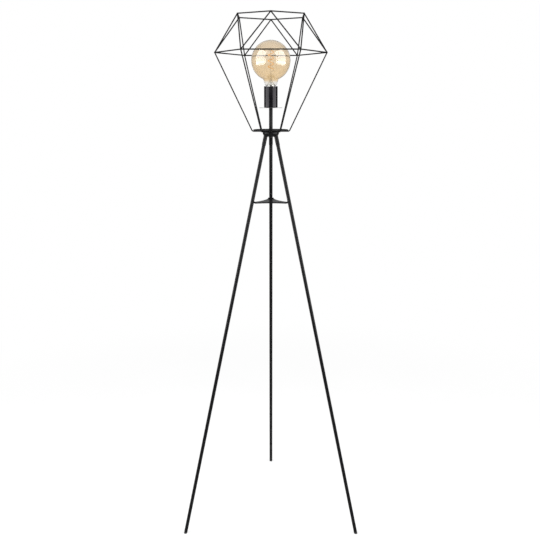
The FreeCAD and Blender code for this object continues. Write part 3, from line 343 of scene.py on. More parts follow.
def stub_grids(degrees):
    """A stub and its weld. The stub's side is straight lines along the leg, from a chamfered lower
    rim up to where each line meets the bowl. The weld is a round bead along that meeting line,
    whose radius swells and falls as a sine of the way round."""
    up = leg_direction(degrees)
    base = along_leg(degrees, LEG_LENGTH - STUB_LENGTH)
    circle = circle_round(up, UPWARDS, STUB_SIDES)
    reach = np.linspace(0.5, 2.2, 400) * STUB_LENGTH
    lines = base + STUB_RADIUS * circle[:, None] + reach[None, :, None] * up
    from_axis = np.hypot(lines[..., 0] - AXIS[0], lines[..., 1] - AXIS[1])
    under = lines[..., 2] < bowl_height(from_axis)
    top = reach[np.argmin(under, axis=1)]
    rings = [(0.0, 0.0), (0.0, STUB_RADIUS - STUB_CHAMFER), (STUB_CHAMFER, STUB_RADIUS)]
    lower = [base + along * up + radius * circle for along, radius in rings]
    share = np.linspace(0.1, 1.0, 8)[:, None, None]
    side = base + STUB_RADIUS * circle + share * (top + BOWL_WALL / 3)[:, None] * up
    cap = side[-1:].mean(axis=1, keepdims=True) + 0 * side[-1:]
    seam = base + STUB_RADIUS * circle + top[:, None] * up
    turn = np.linspace(0, 2 * np.pi, STUB_SIDES, endpoint=False)
    bead = STUB_WELD_RADIUS * (1 + STUB_WELD_SWELL * np.sin(STUB_WELD_RIPPLES * turn))
    loop = np.concatenate([seam[-1:], seam, seam[:1]])
    weld = carried(loop, np.concatenate([bead[-1:], bead, bead[:1]]), up, 10)[1:-1]
    return np.concatenate([np.array(lower), side, cap]), weld


stubs, stub_welds = zip(*[stub_grids(degrees) for degrees in LEG_ANGLES.values()])
coated_piece("leg_stubs_turned", stubs, ["leg_stubs"])
coated_piece("leg_stub_welds", stub_welds, looped=True, crease=60.0)

# Studs, inserts, threaded tube and nuts
# Bought steel parts, zinc plated: turned studs, inserts and nuts, and a bent strap with its screws.
# Only a short stretch of the threaded tube shows, under the cage, and it is passivated black.


def dressed(names, finish):
    """Gives a finish to pieces whose shape is taken as it is."""
    for name in names:
        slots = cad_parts[name].data.materials
        slots.clear()
        slots.append(finish)


METAL = {"Metallic": 1.0}

# Bright zinc on steel: a pale grey metal with cloudy roughness and a faint blue or yellow cast.
ZINC = mottled_finish("zinc_plate", 260.0, (0.52, 0.54, 0.57), (0.62, 0.61, 0.56),
                      900.0, (0.26, 0.44), (2400.0, 0.00001), METAL)
# Zinc passivated black: a dark, dull metal with worn, greyer spots.
BLACK_ZINC = mottled_finish("black_passivated_zinc", 260.0, (0.020, 0.020, 0.022), (0.045, 0.044, 0.042),
                            900.0, (0.36, 0.52), (2400.0, 0.00001), METAL)

dressed(["leg_studs", "leg_inserts", "hub_nut", "holder_nut", "holder_strap", "strap_screws"], ZINC)
dressed(["threaded_tube"], BLACK_ZINC)

# Cord bushing
# A lipped bushing in the bowl's hole, where a mains cord would enter. It is injection moulded from
# black plastic and pushed in.

dressed(["cord_bushing"], PLASTIC)

# Brace plate
# A three-cornered steel plate, laser cut with hollow sides, its tips bent up to lie along the
# legs. It is powder coated after bending and keeps the legs apart.

BRACE_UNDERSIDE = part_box("brace_plate")[0].z
BRACE_THICKNESS = 0.003
BRACE_TIP_WIDTH = 0.020
BRACE_SIDE_BOW = 0.008
BRACE_EDGE = 0.0005
BRACE_TOP = BRACE_UNDERSIDE + BRACE_THICKNESS
LIP_RISE = 0.0045
LIP_THICKNESS = 0.002
LIP_MIDDLE = BRACE_UNDERSIDE + (BRACE_THICKNESS + LIP_RISE) / 2
LIP_BEND = 0.003
LIP_BEND_STEPS = 9
LIP_ROOT = 0.012
LIP_ROOT_HALF_THICKNESS = 0.44 * BRACE_THICKNESS
LIP_CORNER = 0.0025
LIP_WIDTH_POWER = 0.25
LIP_THICKNESS_POWER = 0.45
LEG_TILT = math.atan2(FOOT_CIRCLE_RADIUS - LEG_TOP_RADIUS, HUB_BOTTOM)


def leg_radius_at(height):
    """Distance from the lamp axis to a leg's centre line at a height above the floor."""
    return FOOT_CIRCLE_RADIUS + (LEG_TOP_RADIUS - FOOT_CIRCLE_RADIUS) * height / HUB_BOTTOM


def outwards(degrees):
    """The direction away from the lamp axis at an angle round it, and the level one square to it."""
    out = unit(polar(1.0, degrees, 0.0) - AXIS)
    return out, np.array([-out[1], out[0], 0.0])


def brace_outline(steps=26):
    """The plate's outline seen from above: three straight tips joined by shallow arcs. Each arc is
    the straight line between two tips, drawn in by the bow times one less the square of the place
    along it, from -1 to 1."""
    tip = leg_radius_at(BRACE_TOP) - LEG_RADIUS / math.cos(LEG_TILT) - LIP_THICKNESS / 2
    place = np.linspace(-1, 1, steps)[:, None]
    rows = []
    for degrees in sorted(LEG_ANGLES.values()):
        out_here, side_here = outwards(degrees)
        out_there, side_there = outwards(degrees + 360 / len(LEG_ANGLES))
        start = (tip * out_here + BRACE_TIP_WIDTH / 2 * side_here)[:2]
        end = (tip * out_there - BRACE_TIP_WIDTH / 2 * side_there)[:2]
        bow = unit(start + end) * BRACE_SIDE_BOW * (1 - place ** 2)
        rows.append(start + (end - start) * (place + 1) / 2 - bow)
    return np.concatenate(rows)


def plate_grid(outline, low, high, edge):
    """A flat plate with rounded rims: from the middle of the underside out to the rim, round it by
    quarter circles, and back to the middle of the top. Each ring is the outline drawn in square to
    itself."""
    ahead = unit(np.roll(outline, -1, axis=0) - np.roll(outline, 1, axis=0))
    inward = np.stack([-ahead[:, 1], ahead[:, 0]], axis=1)
    turn = np.radians(np.linspace(-90, 0, 5))
    inset = edge * (1 - np.cos(turn))
    rise = edge * (1 + np.sin(turn))
    rings = outline + np.concatenate([inset, inset[::-1]])[:, None, None] * inward
    middle = np.zeros_like(rings[:1])
    rings = np.concatenate([middle, rings[:1] * 0.5, rings, rings[-1:] * 0.5, middle])
    heights = np.concatenate([[low, low], low + rise, high - rise[::-1], [high, high]])
    level = np.broadcast_to(heights[:, None, None], rings.shape[:2] + (1,))
    return AXIS + np.concatenate([rings, level], axis=-1)


def inner_face(degrees):
    """The sideways and the outward direction at a leg's inner face, both square to the leg."""
    out, side = outwards(degrees)
    facing = unit(np.cross(leg_direction(degrees), side))
    return side, facing * np.sign(facing @ out)


def on_inner_face(degrees, depth):
    """The point a depth inwards from a leg's inner face, at the height of the lip's middle."""
    on_leg = polar(leg_radius_at(LIP_MIDDLE), degrees, LIP_MIDDLE)
    return on_leg - inner_face(degrees)[1] * (LEG_RADIUS + depth)


def lip_path(degrees):
    """The middle line of a bent tip: level from inside the plate, a bend by a quadratic curve through
    the corner of the two straight parts, and up along the leg's inner face."""
    up = leg_direction(degrees)
    out = outwards(degrees)[0]
    on_lip = on_inner_face(degrees, LIP_THICKNESS / 2)
    level = BRACE_UNDERSIDE + BRACE_THICKNESS / 2
    corner = on_lip + up * ((level - on_lip[2]) / up[2])
    before = corner - out * LIP_BEND
    after = corner + up * LIP_BEND
    share = np.linspace(0, 1, LIP_BEND_STEPS)[:, None]
    curve = (1 - share) ** 2 * before + 2 * share * (1 - share) * corner + share ** 2 * after
    top = on_lip + up * (BRACE_THICKNESS + LIP_RISE) / 2
    rise = after + np.linspace(0, 1, 12)[1:, None] * (top - after)
    return np.concatenate([[corner - out * LIP_ROOT], curve, rise])


def distance_along(path):
    """The distance travelled along a path at each of its points."""
    return np.concatenate([[0], np.cumsum(np.linalg.norm(np.diff(path, axis=0), axis=1))])


def closed_ends(path, grid):
    """A grid carried along a path, closed at each end by the path's own point."""
    first, last = [np.broadcast_to(path[i], grid[:1].shape) for i in (0, -1)]
    return np.concatenate([first, grid, last])


def signed_power(value, power):
    """A power of a value's size, with the value's own sign."""
    return np.sign(value) * np.abs(value) ** power


def lip_grid(degrees):
    """A bent tip: a flat bar carried along its middle line. Its section is a superellipse, nearly a
    rectangle, and its half width falls as a quarter circle over the last part, which rounds the
    corners. It thins evenly from the plate to the end of the bend."""
    side = inner_face(degrees)[0]
    path = lip_path(degrees)
    travelled = distance_along(path)
    near_end = np.clip(1 - (travelled[-1] - travelled) / LIP_CORNER, 0, 1)
    half_width = BRACE_TIP_WIDTH / 2 - LIP_CORNER * (1 - np.sqrt(1 - near_end ** 2))
    bent = np.clip(travelled / travelled[LIP_BEND_STEPS], 0, 1)
    half_thick = LIP_ROOT_HALF_THICKNESS * (1 - bent) + LIP_THICKNESS / 2 * bent
    normal = np.cross(unit(np.gradient(path, axis=0)), side)
    angle = np.linspace(0, 2 * np.pi, 40, endpoint=False)[:, None]
    wide = signed_power(np.cos(angle), LIP_WIDTH_POWER)
    thick = signed_power(np.sin(angle), LIP_THICKNESS_POWER)
    across = wide * half_width[:, None, None] * side
    through = thick * half_thick[:, None, None] * normal[:, None]
    return closed_ends(path, path[:, None] + across + through)


brace = plate_grid(brace_outline(), BRACE_UNDERSIDE, BRACE_TOP, BRACE_EDGE)
coated_piece("brace_plate_cut", [brace], ["brace_plate"])
coated_piece("brace_plate_lips", [lip_grid(degrees) for degrees in LEG_ANGLES.values()])

# Brace screws
# Three small steel screws with a pan head and a cross recess. Each goes through a lip into its
# leg, and its head is coated black like the plate.

SCREW_HEAD_RADIUS = 0.0025
SCREW_HEAD_HEIGHT = 0.0016
SCREW_RIM_DROP = 0.75
RECESS_HALF_WIDTH = 0.00042
RECESS_LENGTH = 0.0015
RECESS_DEPTH = 0.0009
RECESS_SIDE_SLOPE = 0.00012
RECESS_END_SLOPE = 0.0003


def brace_screw(degrees):
    """The head of a screw on a lip, facing the lamp axis. Its height over the lip is a low dome that
    falls as a sixth power near the rim, less a cross-shaped recess whose walls are steep slopes of
    the distance from its arms."""
    side, facing = inner_face(degrees)
    share = np.concatenate([np.linspace(0, 0.8, 14), np.linspace(0.84, 1.0, 7)])[:, None]
    angle = np.linspace(0, 2 * np.pi, 64, endpoint=False)
    x = SCREW_HEAD_RADIUS * share * np.cos(angle)
    y = SCREW_HEAD_RADIUS * share * np.sin(angle)
    across = np.minimum(np.abs(x), np.abs(y))
    along = np.maximum(np.abs(x), np.abs(y))
    inside_arm = np.clip((RECESS_HALF_WIDTH - across) / RECESS_SIDE_SLOPE, 0, 1)
    before_end = np.clip((RECESS_LENGTH - along) / RECESS_END_SLOPE, 0, 1)
    level = SCREW_HEAD_HEIGHT * (1 - SCREW_RIM_DROP * share ** 6) - RECESS_DEPTH * inside_arm * before_end
    head = x[..., None] * side + y[..., None] * np.cross(-facing, side) - level[..., None] * facing
    foot = head[-1:] + level[-1:, :, None] * facing
    return on_inner_face(degrees, LIP_THICKNESS) + np.concatenate([head, foot, 0 * foot])


coated_piece("brace_screw_heads", [brace_screw(degrees) for degrees in LEG_ANGLES.values()], ["brace_screws"])

# Cage wires
# Round mild steel wire, cut and bent in a jig. Six wires run in under the lampholder as spokes
# and bend up as stays; a round ring lies on them, and two hexagons and twelve braces top them.

WIRE_RADIUS = 0.0019
WIRE_SIDES = 20
WIRE_EDGE = 0.0004
WAIST_RADIUS = 0.171
TOP_RADIUS = 0.113
STAY_FOOT_RADIUS = 0.0575
STAY_BEND_RADIUS = 0.007
SPOKE_INNER_RADIUS = 0.012


def middle_height(node):
    """The height of the middle of a node's box."""
    low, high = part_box(node)
    return (low.z + high.z) / 2


WAIST_HEIGHT = middle_height("cage_waist_ring")
TOP_HEIGHT = middle_height("cage_top_ring")
RING_HEIGHT = middle_height("cage_bottom_ring")
SPOKE_HEIGHT = RING_HEIGHT - 2 * WIRE_RADIUS
corners = np.arange(6) * 60.0
waist = polar(WAIST_RADIUS, corners, WAIST_HEIGHT)
next_waist = np.roll(waist, -1, axis=0)
top = polar(TOP_RADIUS, corners + 30.0, TOP_HEIGHT)
knees = polar(STAY_FOOT_RADIUS, corners, SPOKE_HEIGHT)
spoke_ends = polar(SPOKE_INNER_RADIUS, corners, SPOKE_HEIGHT)


def straight_wires(starts, ends):
    """A straight wire from each start to its end."""
    return [rod_grid(start, end, WIRE_RADIUS, WIRE_EDGE, WIRE_SIDES) for start, end in zip(starts, ends)]


def stay_grid(corner, knee, inner):
    """A stay and its spoke: the wire's circle carried down a straight line, round an arc that
    touches both lines, and in along the spoke. Both rims are quarter circles."""
    down = unit(knee - corner)
    inward = unit(inner - knee)
    turn = math.acos(float(down @ inward))
    trim = STAY_BEND_RADIUS * math.tan(turn / 2)
    centre = knee + unit(inward - down) * STAY_BEND_RADIUS / math.cos(turn / 2)
    from_centre = knee - down * trim - centre
    bend = np.linspace(0, turn, 10)[:, None]
    curve = centre + np.cos(bend) * from_centre + np.sin(bend) * STAY_BEND_RADIUS * down
    ease = np.linspace(0, 1, 6)[:, None]
    stay = corner + ease[:-1] * (curve[0] - corner)
    spoke = inner + ease[::-1][1:] * (curve[-1] - inner)
    path = np.concatenate([stay, curve, spoke])
    ahead = unit(np.gradient(path, axis=0))
    rim_turn = np.linspace(np.pi / 2, 0, 4)
    rim = WIRE_EDGE * (1 - np.sin(rim_turn))[:, None]
    wide = WIRE_RADIUS - WIRE_EDGE * (1 - np.cos(rim_turn))
    path = np.concatenate([path[:1] + rim * ahead[0], path[1:-1], path[-1:] - rim[::-1] * ahead[-1]])
    radii = np.concatenate([wide, np.full(len(ahead) - 2, WIRE_RADIUS), wide[::-1]])
    ahead = np.concatenate([np.repeat(ahead[:1], 4, 0), ahead[1:-1], np.repeat(ahead[-1:], 4, 0)])
    circles = circle_round(ahead, np.cross(down, inward), WIRE_SIDES)
    return closed_ends(path, path[:, None] + radii[:, None, None] * circles)


coated_piece("cage_stay_wires", [stay_grid(*line) for line in zip(waist, knees, spoke_ends)], ["cage_stays"])
coated_piece("cage_waist_wires", straight_wires(waist, next_waist), ["cage_waist_ring"])
coated_piece("cage_top_wires", straight_wires(top, np.roll(top, -1, axis=0)), ["cage_top_ring"])
braces = straight_wires(waist, top) + straight_wires(next_waist, top)
coated_piece("cage_brace_wires", braces, ["cage_crown_braces"])

# Bottom ring and centre plate
# A wire ring, butt welded, lies on the spokes inside their bends. The round plate over their inner
# ends is welded to them, and the stem clamps it.

ring_low, ring_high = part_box("cage_bottom_ring")
RING_RADIUS = (ring_high.x - ring_low.x) / 2 - WIRE_RADIUS
RING_WELD_PLACE = 90.0
RING_WELD_SPREAD = 2.5
RING_WELD_SWELL = 0.10
CENTRE_LOW, CENTRE_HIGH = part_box("cage_centre_plate")
CENTRE_RADIUS = (CENTRE_HIGH.x - CENTRE_LOW.x) / 2
CENTRE_EDGE = 0.0006


def ring_grid():
    """A closed ring of wire: the wire's circle carried round the lamp axis. Its width swells by a
    tenth in a narrow bell at one place, the ground butt weld."""
    degrees = np.linspace(0, 360, 180, endpoint=False)[:, None]
    angle = np.linspace(0, 2 * np.pi, WIRE_SIDES, endpoint=False)
    bell = np.exp(-((degrees - RING_WELD_PLACE) / RING_WELD_SPREAD) ** 2)
    radius = RING_RADIUS + WIRE_RADIUS * (1 + RING_WELD_SWELL * bell) * np.cos(angle)
    return polar(radius, degrees, RING_HEIGHT + WIRE_RADIUS * np.sin(angle))


coated_piece("cage_bottom_wire", [ring_grid()], ["cage_bottom_ring"], looped=True)
centre = washer_outline(PIPE_HOLE, CENTRE_RADIUS, CENTRE_LOW.z, CENTRE_HIGH.z, CENTRE_EDGE)
coated_piece("cage_centre_disc", [turned(centre)], ["cage_centre_plate"])

# Cage welds
# The wires are joined by small gas welds that run out smoothly on to each wire, and the coat
# rounds them further. Short beads hold the bottom ring and the centre plate to the spokes.

FILLET_REACH = 3.4
FILLET_POWER = 7.0
BEAD_RIPPLE = 0.06
RING_BEAD = {"half_length": 0.0028, "radius": 0.0010}
RING_BEAD_OFFSET = 0.8 * WIRE_RADIUS
PLATE_BEAD = {"half_length": 0.0036, "radius": 0.0009}
PLATE_BEAD_OFFSET = 0.85 * WIRE_RADIUS
PLATE_BEAD_INSET = 0.004
PLATE_BEAD_DROP = 0.0004


def corner_weld(corner, *ends):
    """A weld where wires to some ends meet, as a distance from the corner in each direction. A wire
    alone would give its radius over the sine of the angle to it, up to a reach; the weld is the
    power sum of all the wires, so it swells where they lie close together."""
    tilt = np.linspace(0, np.pi, 40)[:, None]
    turn = np.linspace(0, 2 * np.pi, 64, endpoint=False)[None, :]
    level = np.sin(tilt)
    look = np.stack([level * np.cos(turn), level * np.sin(turn), np.cos(tilt) + 0 * turn], axis=-1)
    ahead = look @ unit(np.array(ends) - corner).T
    sine = np.where(ahead > 0, np.sqrt(np.clip(1 - ahead ** 2, 0, 1)), 1.0)
    distance = WIRE_RADIUS / np.maximum(sine, 1 / FILLET_REACH)
    blended = np.sum(distance ** FILLET_POWER, axis=-1) ** (1 / FILLET_POWER)
    return corner + blended[..., None] * look


def bead_grid(middle, along, half_length, radius):
    """A short bead: a round bar whose radius is a half ellipse of the place along it, with three
    ripples."""
    place = np.linspace(-1, 1, 15)
    path = middle + place[:, None] * half_length * along
    ripple = 1 + BEAD_RIPPLE * np.sin(3 * np.pi * place)
    return carried(path, radius * np.sqrt(np.clip(1 - place ** 2, 0, 1)) * ripple, UPWARDS, 12)


welds = []
for i in range(6):
    welds.append(corner_weld(waist[i], next_waist[i], waist[i - 1], top[i], top[i - 1], knees[i]))
    at_top = corner_weld(top[i], top[(i + 1) % 6], top[i - 1], waist[i], next_waist[i])
    at_top[..., 2] = np.minimum(at_top[..., 2], TOP_HEIGHT + WIRE_RADIUS)
    welds.append(at_top)
for degrees in corners:
    out, side = outwards(degrees)
    at_ring = polar(RING_RADIUS, degrees, RING_HEIGHT - WIRE_RADIUS)
    at_plate = polar(CENTRE_RADIUS - PLATE_BEAD_INSET, degrees, CENTRE_LOW.z - PLATE_BEAD_DROP)
    for way in (-side, side):
        welds.append(bead_grid(at_ring + way * RING_BEAD_OFFSET, out, **RING_BEAD))
        welds.append(bead_grid(at_plate + way * PLATE_BEAD_OFFSET, out, **PLATE_BEAD))
coated_piece("cage_welds", welds, crease=70.0)

# Stem
# A steel sleeve over the threaded tube, between the cage and the disc. It is turned square at
# both ends and powder coated.

STEM_RADIUS = (STEM_HIGH.x - STEM_LOW.x) / 2
STEM_EDGE = 0.0004
stem = washer_outline(PIPE_HOLE, STEM_RADIUS, STEM_LOW.z, STEM_HIGH.z, STEM_EDGE)
coated_piece("stem_tube", [turned(stem, 64)], ["stem_sleeve"])

# Disc under the lampholder
# A thin disc blanked from bright steel sheet, turned on its face and lacquered. The stem and the
# lampholder clamp it between them.

DISC_LOW, DISC_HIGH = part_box("socket_disc")
DISC_RADIUS = (DISC_HIGH.x - DISC_LOW.x) / 2
DISC_EDGE = 0.00045
DISC_SIDES = 128


def spun_silver():
    """Satin bright steel with fine rings from the lathe: bands of noise by the distance from the
    lamp axis vary its roughness."""
    material, shader, add, wire = new_finish("spun_silver")
    place = add("ShaderNodeTexCoord", {})
    centred = add("ShaderNodeVectorMath", {0: place.outputs["Object"], 1: (AXIS[0], AXIS[1], DISC_HIGH.z)},
                  operation="SUBTRACT")
    length = add("ShaderNodeVectorMath", {0: centred.outputs["Vector"]}, operation="LENGTH")
    rings = add("ShaderNodeTexNoise", {"W": length.outputs["Value"], "Scale": 2600.0, "Detail": 2.0},
                noise_dimensions="1D")
    rough = add("ShaderNodeMapRange", {"Value": rings.outputs["Fac"], "To Min": 0.22, "To Max": 0.46})
    tone = two_tones(add, speckled(add, 120.0, 0.0, 1.0), (0.27, 0.27, 0.275), (0.32, 0.32, 0.32))
    bump = add("ShaderNodeBump", {"Height": rings.outputs["Fac"], "Distance": 0.00001, "Strength": 1.0})
    wire(shader, {"Base Color": tone, "Metallic": 1.0, "Roughness": rough.outputs["Result"],
                  "Normal": bump.outputs["Normal"]})
    return material


disc = washer_outline(PIPE_HOLE, DISC_RADIUS, DISC_LOW.z, DISC_HIGH.z, DISC_EDGE)
made_piece("socket_disc_spun", [turned(disc, DISC_SIDES)], "stand", spun_silver(),
           ["socket_disc"])

# Lampholder cup
# A deep-drawn steel cup with a rounded foot and a rim that is turned over slightly, lacquered in
# black. It hides the holder's insulating body.

CUP_LOW, CUP_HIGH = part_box("lampholder_cup")
CUP_RADIUS = (CUP_HIGH.x - CUP_LOW.x) / 2
CUP_WALL = 0.001
CUP_FOOT_RADIUS = 0.002

# Black satin lacquer, smoother and a little bluer than the powder coat.
SATIN_LACQUER = mottled_finish("black_satin_lacquer", 90.0, (0.0016, 0.0015, 0.0022),
                               (0.0034, 0.0032, 0.0044), 300.0, (0.17, 0.23), (900.0, 0.000004),
                               {"Specular IOR Level": 0.24, "Specular Tint": (0.97, 0.94, 1.0, 1)})


def cup_outline():
    """The cup's section from the hole in its floor out, up the side, over the rim and back inside."""
    foot_r = CUP_RADIUS - CUP_FOOT_RADIUS
    foot_z = CUP_LOW.z + CUP_FOOT_RADIUS
    rim = CUP_WALL / 2
    return outline_of([PIPE_HOLE, CUP_LOW.z], arc(foot_r, foot_z, CUP_FOOT_RADIUS, -90, 0),
                      arc(CUP_RADIUS - rim, CUP_HIGH.z - rim, rim, 0, 180),
                      arc(foot_r, foot_z, CUP_FOOT_RADIUS - CUP_WALL, 0, -90, 6),
                      [PIPE_HOLE, CUP_LOW.z + CUP_WALL])


cup = turned(cup_outline())
made_piece("lampholder_cup_drawn", [cup], "stand", SATIN_LACQUER, ["lampholder_cup"])

# Lampholder insides
# A glazed ceramic body on a zinc plated strap, with a rolled brass shell, brass terminals and
# steel screws. They can be seen from above once the bulb is out.

# White steatite with a thin glaze: faint grey clouds and a few pits.
CERAMIC = mottled_finish("glazed_ceramic", 140.0, (0.70, 0.68, 0.64), (0.80, 0.79, 0.76),
                         500.0, (0.16, 0.34), (900.0, 0.00003))
# Brass sheet, slightly tarnished in patches.
BRASS = mottled_finish("rolled_brass", 220.0, (0.72, 0.50, 0.20), (0.58, 0.38, 0.15),
                       800.0, (0.24, 0.42), others=METAL)
# Polished spring and screw steel with a fine haze.
STEEL = mottled_finish("bright_steel", 300.0, (0.58, 0.58, 0.59), (0.66, 0.65, 0.64),
                       1200.0, (0.18, 0.32), others=METAL)

dressed(["holder_body"], CERAMIC)
dressed(["terminal_blocks", "centre_strip", "side_strip", "contact_plunger"], BRASS)
dressed(["terminal_screws", "plunger_clip"], STEEL)

# Contact spring
# A coil of spring steel wire under the head of the centre contact, which on the real holder shortens
# as the contact is pressed. Here it is drawn at one length, on a mesh of its own.

SPRING_LOW, SPRING_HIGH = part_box("contact_spring")
SPRING_WIRE_RADIUS = 0.0003
SPRING_COIL_RADIUS = 0.0028
SPRING_TURNS = 3
ROUNDED_SHARE = 0.98


def round_tube(path, radius, sides):
    """A tube along a path. Each end closes as a quarter circle of the tube's own radius, nearly down
    to a point, and a small flat closes the rest."""
    travelled = distance_along(path)
    from_end = np.minimum(travelled, travelled[-1] - travelled)
    radii = radius * np.sqrt(1 - np.clip(1 - from_end / radius, 0, ROUNDED_SHARE) ** 2)
    return closed_ends(path, carried(path, radii, UPWARDS, sides))


spring_turn = np.linspace(0, 360.0 * SPRING_TURNS, 37 * SPRING_TURNS)
spring_rise = np.linspace(SPRING_LOW.z + SPRING_WIRE_RADIUS, SPRING_HIGH.z - SPRING_WIRE_RADIUS,
                          len(spring_turn))
spring_grid = round_tube(polar(SPRING_COIL_RADIUS, spring_turn, spring_rise), SPRING_WIRE_RADIUS, 12)
spring = made_piece("contact_spring_coil", [spring_grid], "stand", STEEL, ["contact_spring"])
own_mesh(spring)

# Threaded shell
# Rolled from brass strip with the round thread of a screw lampholder, and held in the well of
# the ceramic body.

SHELL_LOW, SHELL_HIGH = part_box("threaded_shell")
SHELL_RADIUS = (SHELL_HIGH.x - SHELL_LOW.x) / 2
SHELL_WALL = 0.0005
SHELL_RIPPLE = 0.00025
THREAD_PITCH = 0.00363
THREAD_DEPTH = 0.0008
THREAD_SIDES = 72


def threaded_wall(radius, low, high, depth, turns_down, steps=110):
    """A threaded wall: its radius falls below the crest by the depth times one half of one less the
    cosine of the height over the pitch less the way round, and the depth fades in near both ends."""
    height = np.linspace(low, high, steps)[:, None]
    turn = np.linspace(0, 2 * np.pi, THREAD_SIDES, endpoint=False)
    phase = 2 * np.pi * (height - turns_down) / THREAD_PITCH - turn
    fade = np.clip((high - height) / THREAD_PITCH, 0, 1) * np.clip((height - low) / (THREAD_PITCH / 2), 0, 1)
    return polar(radius - depth * fade * (1 - np.cos(phase)) / 2, np.degrees(turn), height)


def drawn_in(grid, wall):
    """The points of a grid, moved towards the lamp axis by the thickness of a wall."""
    return grid - wall * unit((grid - AXIS) * [1, 1, 0])


shell_wall = threaded_wall(SHELL_RADIUS, SHELL_LOW.z, SHELL_HIGH.z, SHELL_RIPPLE, SHELL_LOW.z)
shell_grid = np.concatenate([shell_wall, drawn_in(shell_wall, SHELL_WALL)[::-1], shell_wall[:1]])
made_piece("threaded_shell_rolled", [shell_grid], "stand", BRASS, ["threaded_shell"])

# Bulb cap
# The screw cap is rolled from nickel plated brass with a plain skirt, crimped on to the glass. A
# black glass cone insulates the tip contact, which is a drop of solder.

CAP_LOW, CAP_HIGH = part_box("bulb_cap")
CAP_RADIUS = (CAP_HIGH.x - CAP_LOW.x) / 2
CAP_SKIRT = 0.0054
CAP_WALL = 0.0004
INSULATOR_LOW, INSULATOR_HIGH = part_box("cap_insulator")
INSULATOR_RADIUS = 0.0118
INSULATOR_HOLE = 0.0006
INSULATOR_MARGIN = 0.0008
INSULATOR_EDGE = 0.0005
INSULATOR_GAP = 0.0002
TIP_LOW, TIP_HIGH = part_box("cap_tip")
TIP_RADIUS = (TIP_HIGH.x - TIP_LOW.x) / 2
TIP_EDGE = 0.0012

# Nickel on brass, dull from rolling, with soft cloudy patches.
NICKEL = mottled_finish("nickel_plate", 240.0, (0.70, 0.69, 0.665), (0.80, 0.79, 0.76),
                        700.0, (0.34, 0.48), (1500.0, 0.000012), METAL)
# Black glass, poured and slightly wavy.
BLACK_GLASS = mottled_finish("black_glass", 200.0, (0.008, 0.008, 0.009), (0.016, 0.014, 0.014),
                             400.0, (0.10, 0.22), (500.0, 0.00005))
# Soft solder, dull grey with a crystalline mottle.
SOLDER = mottled_finish("solder", 1500.0, (0.50, 0.50, 0.51), (0.66, 0.66, 0.66),
                        1800.0, (0.28, 0.5), others=METAL)


def cap_grid():
    """The cap's shell: the threaded wall below, the plain skirt above it, over the rim and down the
    inside, which repeats the outside less the wall."""
    skirt = CAP_HIGH.z - CAP_SKIRT
    thread = threaded_wall(CAP_RADIUS, CAP_LOW.z, skirt, THREAD_DEPTH, skirt)
    edge = CAP_WALL / 2
    over_rim = arc(CAP_RADIUS - edge, CAP_HIGH.z - edge, edge, 0, 180, 7)
    rim = turned(np.concatenate([[[CAP_RADIUS, CAP_HIGH.z - CAP_WALL]], over_rim]), THREAD_SIDES)
    return np.concatenate([thread, rim, drawn_in(thread, CAP_WALL)[::-1], thread[:1]])


made_piece("bulb_cap_rolled", [cap_grid()], "bulb", NICKEL, ["bulb_cap"])
cone_foot = TIP_RADIUS + INSULATOR_MARGIN - INSULATOR_EDGE
insulator = outline_of([INSULATOR_HOLE, INSULATOR_LOW.z],
                       arc(cone_foot, INSULATOR_LOW.z + INSULATOR_EDGE, INSULATOR_EDGE, -90, -10, 5),
                       [INSULATOR_RADIUS, CAP_LOW.z - INSULATOR_GAP], [INSULATOR_RADIUS, INSULATOR_HIGH.z],
                       [INSULATOR_HOLE, INSULATOR_HIGH.z])
made_piece("cap_insulator_poured", [turned(insulator, 64)], "bulb", BLACK_GLASS,
           ["cap_insulator"])
tip = outline_of([0.0, TIP_LOW.z], arc(TIP_RADIUS - TIP_EDGE, TIP_LOW.z + TIP_EDGE, TIP_EDGE, -90, 0, 7),
                 [TIP_RADIUS, TIP_HIGH.z], [0.0, TIP_HIGH.z])[:-1]
made_piece("cap_tip_solder", [turned(tip, 48)], "bulb", SOLDER, ["cap_tip"])

# Bulb glass
# A globe blown from soda glass with a short tapering neck, coated inside and out with a thin
# amber lustre, and sealed at its foot into the cap.

GLOBE_LOW, GLOBE_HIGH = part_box("bulb_glass")
GLOBE_RADIUS = (GLOBE_HIGH.x - GLOBE_LOW.x) / 2
GLOBE_CENTRE = GLOBE_HIGH.z - GLOBE_RADIUS
GLOBE_SIDES = 128
GLASS_WALL = 0.001
GLASS_CLEARANCE = 0.00003
NECK_SHOULDER_RADIUS = 0.0186
NECK_TAPER = math.radians(18.0)
NECK_FILLET = 0.004
SHOULDER_ARC = 0.005
BARE_BELOW = CAP_HIGH.z + 0.008
LUSTRED_ABOVE = CAP_HIGH.z + 0.019
# Heights of the painted light in the amber tint: painted shade is deepest below the first and painted
# reflection palest above the second.
PAINTED_SHADE_DEEPEST_BELOW = GLOBE_CENTRE - 0.8 * GLOBE_RADIUS
PAINTED_REFLECTION_PALEST_ABOVE = GLOBE_CENTRE + 0.5 * GLOBE_RADIUS


